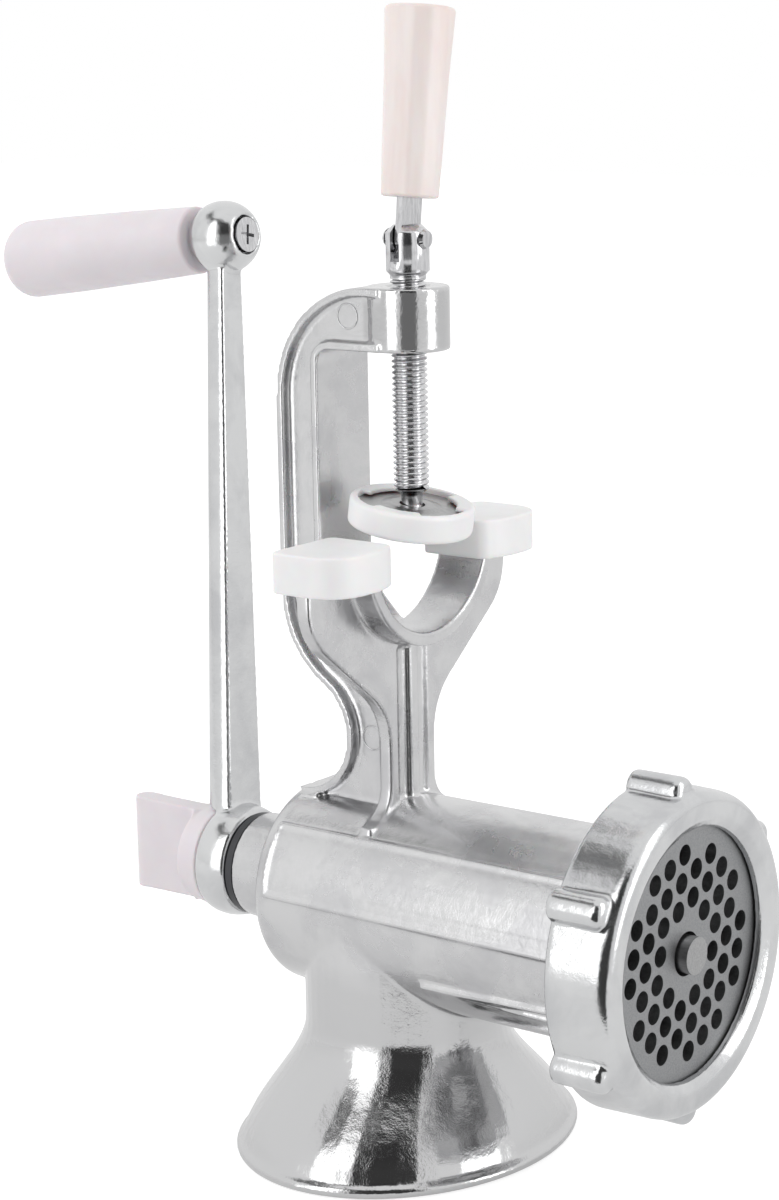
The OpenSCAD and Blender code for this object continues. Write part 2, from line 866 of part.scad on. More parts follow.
module cutting_knife() {
    side = knife_square + 2 * seat_gap;
    color("lightgray")
    on_barrel_axis(knife_back_x)
        difference() {
            union() {
                cylinder(r = 9.5, h = knife_t);
                intersection() {
                    for (i = [0:3])
                        rotate([0, 0, 90 * i + 20])
                            knife_blade();
                    cylinder(r = knife_r, h = knife_t);
                }
            }
            translate([-side / 2, -side / 2, -cut])
                cube([side, side, knife_t + 2 * cut]);
        }
}

// Places its children in the crank's own frame: arm along +Z, grip along -X
module in_crank_frame() {
    translate([hub_x, 0, axis_z])
        rotate([-crank_turn, 0, 0])
            rotate([0, -crank_lean, 0])
                children();
}

// Places its children at the arm's outer end, with the grip's axis along -X
module in_grip_frame() {
    in_crank_frame()
        translate([0, 0, crank_len])
            rotate([0, grip_tilt, 0])
                children();
}

// Half round section of the arm: flat towards +X
module arm_section(w, t) {
    linear_extrude(height = 0.5)
        intersection() {
            scale([t / w * 2, 1])
                rotate(180 / hull_fn)
                    circle(d = w, $fn = hull_fn);
            translate([-t, -w / 2])
                square([t * 1.45, w]);
        }
}

// Outline of the hub's bulge: [distance along the axis, radius]
function hub_bulge() = arc(
    hub_front_x - hub_bulge_x, hub_r - hub_bulge_r,
    hub_bulge_r, hub_bulge_start, hub_bulge_end
);

module crank_arm() {
    side = drive_side + 2 * seat_gap;
    color("silver")
    difference() {
        union() {
            on_barrel_axis()
                rotate_extrude()
                    polygon([for (p = concat(
                        [[hub_front_x, 0], [hub_front_x, hub_r - 1.6], [hub_front_x - 0.8, hub_r - 0.6]],
                        hub_bulge(),
                        [[hub_rear_x + 0.3, hub_rear_r], [hub_rear_x, hub_rear_r - 0.3], [hub_rear_x, 0]]
                    )) [p[1], p[0]]]);
            in_crank_frame()
                hull() {
                    translate([0, 0, arm_root_z])
                        arm_section(arm_root_w, arm_root_t);
                    translate([0, 0, crank_len - 4])
                        arm_section(arm_tip_w, arm_tip_t);
                }
            in_grip_frame()
                rotate([0, 90, 0])
                    rotate_extrude()
                        intersection() {
                            circle(r = ball_r);
                            translate([0, -ball_flat_x])
                                square([ball_r, ball_flat_x + ball_r - ball_face_cut]);
                        }
        }
        // square hole through the hub
        translate([hub_rear_x - cut, -side / 2, axis_z - side / 2])
            cube([hub_len + cut, side, side]);
        // room for the thumb screw's round root behind the hub
        on_barrel_axis(hub_rear_x - wing_root_len - 2)
            cylinder(r = hub_rear_r + face_gap, h = wing_root_len + 2);
        // room for the bush and journal in front of the hub
        on_barrel_axis(hub_front_x - 0.4 - seat_gap)
            cylinder(r = journal_r + seat_gap, h = 10);
        // bore for the grip's screw and seat for its head
        in_grip_frame()
            rotate([0, 90, 0]) {
                translate([0, 0, -ball_r - cut])
                    cylinder(r = grip_screw_r + run_gap, h = 3 * ball_r, $fn = fine_fn);
                translate([0, 0, screw_seat_x])
                    cylinder(r = grip_head_r + 0.4, h = ball_r, $fn = fine_fn);
            }
    }
}

module crank_grip() {
    color("lavenderblush")
    in_grip_frame()
        translate([-grip_start_x, 0, 0])
            rotate([0, -90, 0])
                difference() {
                    rotate_extrude()
                        polygon(concat(
                            [[0, 0], [grip_inner_r - 0.6, 0], [grip_inner_r, 0.8]],
                            [[grip_outer_r - 0.1, grip_len * 0.7]],
                            arc(grip_outer_r - grip_end_r, grip_len - grip_end_r, grip_end_r, 0, 90),
                            [[0, grip_len]]
                        ));
                    translate([0, 0, -cut])
                        cylinder(r = grip_screw_r, h = grip_hole_len + cut, $fn = fine_fn);
                }
}

module crank_grip_screw() {
    color("lightgray")
    in_grip_frame()
        rotate([0, 90, 0]) {
            translate([0, 0, -grip_start_x - grip_hole_len])
                cylinder(
                    r = grip_screw_r,
                    h = grip_start_x + grip_hole_len + screw_seat_x + 1,
                    $fn = fine_fn
                );
            translate([0, 0, screw_seat_x + face_gap])
                difference() {
                    cylinder(r = grip_head_r, h = grip_head_h, $fn = fine_fn);
                    for (a = [0, 90])
                        rotate([0, 0, a])
                            translate([-2.4, -0.4, 1])
                                cube([4.8, 0.8, 2]);
                }
        }
}

// Outline of the wing from its round root at x = 0 to its bulging outer edge
module wing_outline() {
    reach = wing_len - wing_root_len - wing_bulge_r;
    half = asin((wing_h / 2 - wing_edge) / wing_bulge_r);
    polygon(concat(
        [[1, wing_root_r], [1, -wing_root_r], [0, -wing_root_r]],
        [for (p = arc(-reach, 0, wing_bulge_r, -half, half)) [-p[0], p[1]]],
        [[0, wing_root_r]]
    ));
}

// Section across the wing, along X: rounded at the outer end, running into the root with a fillet
module wing_section() {
    reach = wing_len - wing_root_len;
    side = wing_t / 2;
    half = concat(
        [[1, side + wing_fillet], [0, side + wing_fillet]],
        [for (p = arc(-wing_fillet, side + wing_fillet, wing_fillet, 0, -90)) p],
        arc(-reach + side, 0, side, 90, 180)
    );
    polygon(concat(half, [for (i = [len(half) - 2:-1:0]) [half[i][0], -half[i][1]]]));
}

module thumb_screw_wing() {
    root_x = wing_x - wing_root_len;
    color("lavenderblush")
    difference() {
        union() {
            intersection() {
                translate([root_x, wing_h / 2, axis_z])
                    rotate([90, 0, 0])
                        linear_extrude(height = wing_h)
                            wing_outline();
                translate([root_x, 0, axis_z - wing_h])
                    linear_extrude(height = 2 * wing_h)
                        wing_section();
                on_barrel_axis(root_x - wing_len)
                    cylinder(r1 = wing_h, r2 = wing_root_r, h = wing_len + 1);
            }
            on_barrel_axis(root_x)
                cylinder(r1 = wing_root_r, r2 = hub_rear_r - 0.3, h = wing_root_len);
        }
        on_barrel_axis(wing_x - stud_in_wing)
            cylinder(r = wing_stud_r, h = stud_in_wing + cut, $fn = fine_fn);
    }
}

module thumb_screw_stud() {
    color("lightgray")
    on_barrel_axis(wing_x - stud_in_wing)
        cylinder(
            r = wing_stud_r,
            h = stud_in_wing + drive_rear_x - wing_x + stud_depth - 2,
            $fn = fine_fn
        );
}

// Places its children in the tilted frame of the swivel pad
module in_swivel_frame() {
    translate([screw_x, 0, swivel_z + disc_mid_z])
        rotate([0, swivel_tilt, 0])
            translate([0, 0, -disc_mid_z])
                children();
}

module swivel_cup() {
    wall = swivel_r - disc_r;
    color("white")
    in_swivel_frame()
        union() {
            rotate_extrude()
                polygon(concat(
                    [[0, 0], [swivel_r - 1, 0]],
                    arc(swivel_r - 1, 1, 1, -60, 0),
                    [
                        [swivel_r, swivel_h - 0.6], [swivel_r - 0.6, swivel_h],
                        [disc_r + 0.1, swivel_h], [disc_r + 0.1, cup_floor], [0, cup_floor]
                    ]
                ));
            // tabs that hold the disc down, and ribs under it
            for (a = [0, 120, 240])
                rotate([0, 0, a + 20])
                    translate([0, 0, disc_z + disc_t + face_gap])
                        rotate_extrude(angle = 56)
                            translate([disc_r - 2.2, 0])
                                square([2.6, swivel_h - disc_z - disc_t - face_gap]);
            for (a = [0:60:300])
                rotate([0, 0, a])
                    translate([disc_r - 3, -0.6, cup_floor - 0.1])
                        cube([3.4, 1.2, disc_z - cup_floor + 0.1]);
        }
}

module swivel_disc() {
    color("gray")
    in_swivel_frame()
        difference() {
            rotate_extrude()
                polygon([
                    [0, disc_z + 0.4], [4.6, disc_z + 0.4], [6.6, disc_z],
                    [disc_r - 0.1, disc_z], [disc_r - 0.1, disc_z + disc_t],
                    [7, disc_z + disc_t], [5, disc_z + disc_t + 0.4], [0, disc_z + disc_t + 0.4]
                ]);
            translate([0, 0, -cut])
                cylinder(r = neck_pin_r + disc_hole_gap, h = swivel_h + 2 * cut, $fn = fine_fn);
        }
}

module clamp_screw() {
    flange_z = swivel_z + pin_flange_z;
    flange_top_z = flange_z + pin_flange_t;
    color("lightgray")
    difference() {
        translate([screw_x, 0, 0])
            rotate_extrude($fn = fine_fn)
                polygon([
                    [0, flange_z], [pin_flange_r, flange_z], [pin_flange_r, flange_top_z],
                    [neck_pin_r, flange_top_z + 0.4], [neck_pin_r, thread_end_z],
                    [screw_r - 0.8, thread_end_z], [screw_r, thread_end_z + 0.8],
                    [screw_r, head_z - head_cone_h], [head_r - 0.6, head_z], [head_r, head_z + 0.6],
                    [head_r, head_top_z - 1.6], [head_r - 1.6, head_top_z], [0, head_top_z]
                ]);
        translate([screw_x - slot_w / 2, -2 * head_r, pivot_z - tongue_w / 2 - 1.4])
            cube([slot_w, 4 * head_r, head_h]);
        translate([screw_x - 2 * head_r, 0, pivot_z])
            rotate([0, 90, 0])
                cylinder(r = rivet_r, h = 4 * head_r, $fn = fine_fn);
    }
}

module handle_rivet() {
    color("darkgray")
    translate([screw_x, 0, pivot_z])
        rotate([0, 90, 0])
            rotate_extrude($fn = fine_fn)
                polygon([
                    [0, -head_r - 0.7], [1.8, -head_r - 0.7], [2.2, -head_r],
                    [rivet_r, -head_r], [rivet_r, head_r], [2.2, head_r],
                    [1.8, head_r + 0.7], [0, head_r + 0.7]
                ]);
}

// Places its children in the frame of the folding handle, which leans about its rivet
module in_handle_frame() {
    translate([screw_x, 0, pivot_z])
        rotate([-handle_lean, 0, 0])
            children();
}

module handle_tongue() {
    color("lightgray")
    in_handle_frame()
        difference() {
            along(-tongue_t / 2, tongue_t)
                union() {
                    circle(d = tongue_w, $fn = fine_fn);
                    translate([-tongue_w / 2, 0])
                        square([tongue_w, grip_start + tongue_in_grip]);
                }
            translate([-tongue_t, 0, 0])
                rotate([0, 90, 0])
                    cylinder(r = rivet_r + run_gap, h = 2 * tongue_t, $fn = fine_fn);
        }
}

module handle_grip() {
    color("seashell")
    in_handle_frame()
        difference() {
            translate([0, 0, grip_start])
                rotate_extrude($fn = fine_fn)
                    polygon([
                        [0, 0], [clamp_grip_r - 1.9, 0], [clamp_grip_r - 1.3, 0.6],
                        [clamp_grip_r, clamp_grip_len - 1.2],
                        [clamp_grip_r - 1.2, clamp_grip_len], [0, clamp_grip_len]
                    ]);
            translate([-tongue_t / 2 - seat_gap, -tongue_w / 2 - seat_gap, grip_start - cut])
                cube([tongue_t + 2 * seat_gap, tongue_w + 2 * seat_gap, tongue_in_grip + cut]);
        }
}

barrel();
hopper();
clamp_frame();
rear_bush();
plate_key();
left_table_pad();
right_table_pad();
ring_nut();
hole_plate();
auger();
auger_stud();
thrust_washer();
cutting_knife();
crank_arm();
thumb_screw_wing();
thumb_screw_stud();
crank_grip();
crank_grip_screw();
swivel_cup();
swivel_disc();
clamp_screw();
handle_rivet();
handle_tongue();
handle_grip();
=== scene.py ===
import json
from math import cos, pi, radians, sin

import bmesh
import bpy
from bpy.props import FloatProperty, FloatVectorProperty, IntProperty, PointerProperty
from mathutils import Matrix, Vector


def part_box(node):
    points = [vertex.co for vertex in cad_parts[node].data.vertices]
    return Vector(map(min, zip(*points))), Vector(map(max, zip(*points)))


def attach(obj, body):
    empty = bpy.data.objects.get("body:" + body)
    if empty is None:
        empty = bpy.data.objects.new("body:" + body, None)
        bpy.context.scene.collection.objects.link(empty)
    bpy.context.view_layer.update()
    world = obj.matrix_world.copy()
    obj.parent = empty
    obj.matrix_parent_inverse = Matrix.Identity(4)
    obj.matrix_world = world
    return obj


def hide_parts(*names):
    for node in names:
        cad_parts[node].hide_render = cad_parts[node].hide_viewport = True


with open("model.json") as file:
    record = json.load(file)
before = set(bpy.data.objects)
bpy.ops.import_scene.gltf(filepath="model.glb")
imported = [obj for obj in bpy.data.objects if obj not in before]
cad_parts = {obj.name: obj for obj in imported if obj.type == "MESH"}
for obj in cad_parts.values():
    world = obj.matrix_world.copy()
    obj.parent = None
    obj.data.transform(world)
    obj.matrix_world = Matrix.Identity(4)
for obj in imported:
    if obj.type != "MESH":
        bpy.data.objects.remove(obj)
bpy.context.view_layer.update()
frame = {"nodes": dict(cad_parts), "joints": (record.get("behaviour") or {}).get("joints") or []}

bl_info = {
    "name": "Hand Crank Meat Grinder",
    "version": (1, 0, 0),
    "blender": (4, 5, 0),
    "location": "3D View > Sidebar > Grinder",
    "description": "Finishes the pieces of a clamp-on hand crank meat grinder",
    "category": "Object",
}

NODES = frame["nodes"]
JOINTS = {j["name"]: j for j in frame["joints"]}
MM = 0.001

# the casting: raised panels and lines of the barrel, rim of the mouth, ejector marks of the bow
BARREL_R = 23.8 * MM
PANEL_ENDS = (-22.3 * MM, 61.5 * MM)
PANEL_EDGES = (4.5, 45.5)
PANEL_ROOT = 0.6 * MM
LINE_ENDS = (-22.1 * MM, 61 * MM)
LEDGE_REAR = 20 * MM
RIM_HALVES = (35.4 * MM, 42.7 * MM)
RIM_HEIGHT = 1.5 * MM
RIM_R = 1.45 * MM
MARK_SPOTS = ((-7.6 * MM, 190.1 * MM), (-2.8 * MM, 95.2 * MM))
MARK_SIDE = 6.98 * MM
MARK_WIRE_R = 0.22 * MM

# the crank's arm: shortest of its long edges, steepness from which an edge counts, and its rounding
ARM_EDGE = 60 * MM
ARM_EDGE_TURN = radians(40)
ARM_ROUND = 1.3 * MM

# the clamp screw: its radius, the lengths of its head and of the plain stem at its other end, the gap
# between thread and head, and how far the plain ends reach into the thread
SCREW_R = 4.0 * MM
HEAD_LENGTH = 10.6 * MM
STEM_LENGTH = 6.0 * MM
HEAD_GAP = 0.4 * MM
HEAD_OVERLAP = 1.0 * MM
STEM_OVERLAP = 0.7 * MM

# one turn of the thread: (share of the pitch, share of the depth)
THREAD_PROFILE = ((0.0, 1.0), (0.14, 0.96), (0.36, 0.12), (0.5, 0.0), (0.64, 0.12), (0.86, 0.96))

# the grips: distance of the crank's grip from its joint, and radius from which the clamp's grip is fluted
GRIP_START = 7.65 * MM
FLUTED_FROM = 3 * MM

# the swivel cup's grid as a share of the other plastic's
CUP_GRID_SHARE = 0.8

# where the casting is polished, in metres: heights of the hopper, and heights and radii of the boss
HOPPER_POLISH = (0.0465, 0.0400)
BOSS_POLISH_HEIGHT = (0.176, 0.180)
BOSS_POLISH_R = (0.0103, 0.0096)
POLISH_SHARE = 0.46

# the room: brightness of floor and backdrop in polished metal, light on matt surfaces, and the white
# paper of the floor: its own shade, its glow, and its shade as seen by matt surfaces
FLOOR_SHINE = 0.92
ROOM_LIGHT = 0.78
PAPER = 0.5
PAPER_GLOW = 0.75
PAPER_BOUNCE = 0.85

# the camera
EYE = Vector((0.392386, -0.510247, 0.259848))
LOOK = Vector((-0.59951, 0.77408, -0.20346))
RIGHT = Vector((0.79282, 0.60917, -0.01846))
UP = Vector((-0.10965, 0.17238, 0.97891))
SENSOR = 36
LENS = 87.9024


# ---------------------------------------------------------------- sizes and colours

def length(name, description, default, low, high):
    return FloatProperty(
        name=name, description=description, default=default, min=low, max=high,
        unit="LENGTH", precision=5,
    )


def colour(name, description, default):
    return FloatVectorProperty(
        name=name, description=description, default=default, subtype="COLOR", size=3,
        min=0.0, max=1.0,
    )


class GrinderSizes(bpy.types.PropertyGroup):
    """Sizes that only the looks need; the rest come from the model."""

    body_grid: length("Casting grid", "Grid that rounds the casting's edges", 0.5 * MM, 0.3 * MM, 1.2 * MM)
    nut_grid: length("Nut grid", "Grid that rounds the ring nut and the crank", 0.42 * MM, 0.3 * MM, 1.2 * MM)
    plastic_grid: length("Plastic grid", "Grid that rounds the plastic caps", 0.34 * MM, 0.25 * MM, 1.0 * MM)
    thread_pitch: length(
        "Thread pitch", "Rise of the clamp screw's thread in one turn", 1.25 * MM, 0.8 * MM, 2.0 * MM,
    )
    thread_depth: length("Thread depth", "Depth of the clamp screw's thread", 0.62 * MM, 0.2 * MM, 0.9 * MM)
    bead: length("Bead radius", "Radius of the raised lines along the barrel", 0.5 * MM, 0.2 * MM, 1.0 * MM)
    panel: length(
        "Panel height", "Height of the raised panels along the barrel", 0.5 * MM, 0.1 * MM, 1.0 * MM,
    )
    pin_mark: length(
        "Ejector mark", "Radius of the round ejector marks on the bow", 2.75 * MM, 1.0 * MM, 4.0 * MM,
    )
    flutes: IntProperty(
        name="Flutes", description="Shallow flutes round the clamp's grip", default=12, min=0, max=24,
    )
    flute_depth: length("Flute depth", "Depth of those flutes", 0.16 * MM, 0.0, 0.6 * MM)
    handle_lean: FloatProperty(
        name="Handle lean", description="Lean of the folding handle", default=radians(7), subtype="ANGLE",
        min=0.0, max=radians(20),
    )


class GrinderColours(bpy.types.PropertyGroup):
    """Colours of the finishes."""

    casting: colour("Casting", "Cast aluminium of the body", (0.635, 0.635, 0.64))
    polished: colour("Polished casting", "Polished aluminium of the hopper and the boss", (0.58, 0.58, 0.585))
    nut: colour("Nut and crank", "Polished aluminium of the ring nut and the crank", (0.66, 0.665, 0.67))
    auger: colour("Auger", "Rough cast aluminium of the auger", (0.52, 0.525, 0.53))
    plate: colour("Plate", "Ground steel of the hole plate", (0.34, 0.345, 0.35))
    steel: colour("Steel", "Steel of the knife and the studs", (0.42, 0.42, 0.42))
    bright: colour("Bright steel", "Plated steel of the clamp screw", (0.70, 0.70, 0.71))
    bush: colour("Bush", "Black nylon between crank and collar", (0.025, 0.026, 0.03))
    white: colour("White plastic", "Table pads and swivel cup", (0.87, 0.87, 0.872))
    lilac: colour("Lilac plastic", "Crank grip and thumb screw", (0.76, 0.715, 0.745))
    cream: colour("Cream plastic", "Grip of the folding handle", (0.84, 0.775, 0.755))
    washer: colour("Washer", "Natural nylon washer behind the auger", (0.72, 0.69, 0.60))


def sizes():
    return bpy.context.scene.grinder_sizes


def colours():
    return bpy.context.scene.grinder_colours


# ---------------------------------------------------------------- node groups

def grey(value):
    """A colour without a hue, for a node."""
    return (value, value, value, 1)


def socket(group, name, way, kind, value=None):
    made = group.interface.new_socket(name=name, in_out=way, socket_type=kind)
    if value is not None:
        made.default_value = value


def add(tree, kind, at, **values):
    """A node of that kind, with its sockets set or linked by name."""
    made = tree.nodes.new(kind)
    made.location = at
    for key, value in values.items():
        name = key.replace("_", " ")
        numbered = name.startswith("in") and name[2:].isdigit()
        target = made.inputs[int(name[2:]) if numbered else name]
        if isinstance(value, bpy.types.NodeSocket):
            tree.links.new(value, target)
        else:
            target.default_value = value
    return made


def maths(tree, operation, at, one, other, vector=False):
    """The result of one step of arithmetic, on numbers or on vectors."""
    made = add(tree, "ShaderNodeVectorMath" if vector else "ShaderNodeMath", at, in0=one, in1=other)
    made.operation = operation
    return made.outputs[0]


def ramp(tree, at, value, start, end):
    """A factor that goes from 0 to 1 while a value goes from start to end."""
    return add(tree, "ShaderNodeMapRange", at, Value=value, From_Min=start, From_Max=end).outputs["Result"]


def blend(tree, at, factor, one, other):
    """The mix of two colours by a factor."""
    made = add(tree, "ShaderNodeMix", at, Factor=factor)
    made.data_type = "RGBA"
    for index, value in ((6, one), (7, other)):
        if isinstance(value, bpy.types.NodeSocket):
            tree.links.new(value, made.inputs[index])
        else:
            made.inputs[index].default_value = value
    return made.outputs[2]


def new_group(name):
    group = bpy.data.node_groups.new(name, "ShaderNodeTree")
    socket(group, "Vector", "INPUT", "NodeSocketVector")
    socket(group, "Color", "INPUT", "NodeSocketColor", (0.5, 0.5, 0.5, 1))
    socket(group, "Color", "OUTPUT", "NodeSocketColor")
    socket(group, "Roughness", "OUTPUT", "NodeSocketFloat")
    socket(group, "Height", "OUTPUT", "NodeSocketFloat")
    return group


def close_group(group, **outputs):
    out = group.nodes.new("NodeGroupOutput")
    out.location = (900, 0)
    for name, value in outputs.items():
        group.links.new(value, out.inputs[name])


def cast_skin():
    """Skin of a casting: lumps, fine grain and dull patches."""
    group = bpy.data.node_groups.get("Cast Skin")
    if group:
        return group
    group = new_group("Cast Skin")
    socket(group, "Lump Size", "INPUT", "NodeSocketFloat", 260.0)
    socket(group, "Grain Size", "INPUT", "NodeSocketFloat", 2600.0)
    socket(group, "Grain Depth", "INPUT", "NodeSocketFloat", 0.3)
    socket(group, "Polish", "INPUT", "NodeSocketFloat", 0.2)
    socket(group, "Dullness", "INPUT", "NodeSocketFloat", 0.14)
    g = group.nodes.new("NodeGroupInput")
    g.location = (-900, 0)
    lumps = add(group, "ShaderNodeTexNoise", (-600, 200), Vector=g.outputs["Vector"],
                Scale=g.outputs["Lump Size"], Detail=2.0, Roughness=0.5)
    grain = add(group, "ShaderNodeTexNoise", (-600, -80), Vector=g.outputs["Vector"],
                Scale=g.outputs["Grain Size"], Detail=2.0, Roughness=0.6)
    patches = add(group, "ShaderNodeTexNoise", (-600, -360), Vector=g.outputs["Vector"],
                  Scale=60.0, Detail=5.0, Roughness=0.6, Distortion=0.4)
    deep = maths(group, "MULTIPLY", (-300, -80), grain.outputs["Fac"], g.outputs["Grain Depth"])
    height = maths(group, "ADD", (-100, 100), lumps.outputs["Fac"], deep)
    spread = maths(group, "MULTIPLY", (-300, -360), patches.outputs["Fac"], g.outputs["Dullness"])
    rough = maths(group, "ADD", (-100, -300), spread, g.outputs["Polish"])
    dark = maths(group, "MULTIPLY", (-300, 420), g.outputs["Color"], (0.84, 0.84, 0.85), vector=True)
    band = ramp(group, (-300, 260), patches.outputs["Fac"], 0.42, 0.66)
    mixed = blend(group, (0, 420), band, g.outputs["Color"], dark)
    close_group(group, Color=mixed, Roughness=rough, Height=height)
    return group


def ground_metal():
    """Ground or turned metal: fine lines round or along one direction, set by the stretch of its vector."""
    group = bpy.data.node_groups.get("Ground Metal")
    if group:
        return group
    group = new_group("Ground Metal")
    socket(group, "Line Size", "INPUT", "NodeSocketFloat", 1800.0)
    socket(group, "Polish", "INPUT", "NodeSocketFloat", 0.3)
    socket(group, "Dullness", "INPUT", "NodeSocketFloat", 0.2)
    g = group.nodes.new("NodeGroupInput")
    g.location = (-900, 0)
    lines = add(group, "ShaderNodeTexNoise", (-600, 100), Vector=g.outputs["Vector"],
                Scale=g.outputs["Line Size"], Detail=3.0, Roughness=0.7)
    cloud = add(group, "ShaderNodeTexNoise", (-600, -200), Vector=g.outputs["Vector"], Scale=90.0, Detail=4.0)
    spread = maths(group, "MULTIPLY", (-300, -200), cloud.outputs["Fac"], g.outputs["Dullness"])
    rough = maths(group, "ADD", (-100, -200), spread, g.outputs["Polish"])
    dark = maths(group, "MULTIPLY", (-300, 420), g.outputs["Color"], (0.72, 0.72, 0.73), vector=True)
    band = ramp(group, (-300, 260), lines.outputs["Fac"], 0.35, 0.7)
    mixed = blend(group, (0, 420), band, g.outputs["Color"], dark)
    close_group(group, Color=mixed, Roughness=rough, Height=lines.outputs["Fac"])
    return group


def moulded_plastic():
    """Moulded plastic: cloudy colour, faint flow lines and a soft skin."""
    group = bpy.data.node_groups.get("Moulded Plastic")
    if group:
        return group
    group = new_group("Moulded Plastic")
    socket(group, "Shade", "INPUT", "NodeSocketColor", (0.9, 0.9, 0.9, 1))
    socket(group, "Cloud Size", "INPUT", "NodeSocketFloat", 70.0)
    socket(group, "Gloss", "INPUT", "NodeSocketFloat", 0.28)
    g = group.nodes.new("NodeGroupInput")
    g.location = (-900, 0)
    cloud = add(group, "ShaderNodeTexNoise", (-600, 100), Vector=g.outputs["Vector"],
                Scale=g.outputs["Cloud Size"], Detail=3.0, Roughness=0.55, Distortion=0.3)
    skin = add(group, "ShaderNodeTexNoise", (-600, -200), Vector=g.outputs["Vector"],
               Scale=1500.0, Detail=2.0)
    tint = maths(group, "MULTIPLY", (-300, 420), g.outputs["Color"], g.outputs["Shade"], vector=True)
    band = ramp(group, (-300, 200), cloud.outputs["Fac"], 0.35, 0.7)
    mixed = blend(group, (0, 420), band, g.outputs["Color"], tint)
    wave = maths(group, "MULTIPLY", (-300, -100), skin.outputs["Fac"], 0.12)
    rough = maths(group, "ADD", (-100, -100), wave, g.outputs["Gloss"])
    close_group(group, Color=mixed, Roughness=rough, Height=skin.outputs["Fac"])
    return group


# ---------------------------------------------------------------- materials

def casting_zones(tree, coords):
    """Where the casting is polished: the hopper's flare and the boss round the clamp screw."""
    screw = JOINTS["clamp_screw_turn"]["pos_m"]
    parts = add(tree, "ShaderNodeSeparateXYZ", (-700, -500), Vector=coords)
    flare = ramp(tree, (-500, -400), parts.outputs["Z"], *HOPPER_POLISH)
    high = ramp(tree, (-500, -600), parts.outputs["Z"], *BOSS_POLISH_HEIGHT)
    flat = maths(tree, "MULTIPLY", (-700, -700), coords, (1, 1, 0), vector=True)
    off = add(tree, "ShaderNodeVectorMath", (-500, -800), in0=flat, in1=(screw[0], screw[1], 0))
    off.operation = "DISTANCE"
    near = ramp(tree, (-300, -800), off.outputs["Value"], *BOSS_POLISH_R)
    boss = maths(tree, "MULTIPLY", (-100, -700), high, near)
    return maths(tree, "MAXIMUM", (0, -500), boss, flare)


def finish(name, group, tint, bump, strength, stretch=(1, 1, 1), inputs=None, zones=None, **shader):
    """A material whose colour, roughness and bump come from one of the groups."""
    made = bpy.data.materials.new(name)
    made.use_nodes = True
    tree = made.node_tree
    tree.nodes.clear()
    out = add(tree, "ShaderNodeOutputMaterial", (700, 0))
    bsdf = add(tree, "ShaderNodeBsdfPrincipled", (400, 0), **shader)
    place = add(tree, "ShaderNodeTexCoord", (-700, 0))
    lay = add(tree, "ShaderNodeMapping", (-500, 0), Vector=place.outputs["Object"], Scale=stretch)
    skin = add(tree, "ShaderNodeGroup", (-250, 0))
    skin.node_tree = group
    tree.links.new(lay.outputs["Vector"], skin.inputs["Vector"])
    skin.inputs["Color"].default_value = (*tint, 1)
    for key, value in (inputs or {}).items():
        skin.inputs[key].default_value = value
    relief = add(tree, "ShaderNodeBump", (100, -200), Height=skin.outputs["Height"],
                 Distance=bump, Strength=strength)
    tree.links.new(skin.outputs["Color"], bsdf.inputs["Base Color"])
    if zones:
        zone = zones(tree, place.outputs["Object"])
        shine = add(tree, "ShaderNodeMapRange", (100, 0), Value=zone, To_Min=1.0, To_Max=POLISH_SHARE)
        dull = maths(tree, "MULTIPLY", (250, 0), skin.outputs["Roughness"], shine.outputs["Result"])
        tree.links.new(dull, bsdf.inputs["Roughness"])
        lighter = blend(tree, (100, 300), zone, skin.outputs["Color"], (*colours().polished, 1))
        tree.links.new(lighter, bsdf.inputs["Base Color"])
    else:
        tree.links.new(skin.outputs["Roughness"], bsdf.inputs["Roughness"])
    tree.links.new(relief.outputs["Normal"], bsdf.inputs["Normal"])
    tree.links.new(bsdf.outputs["BSDF"], out.inputs["Surface"])
    made.diffuse_color = (*tint, 1)
    return made


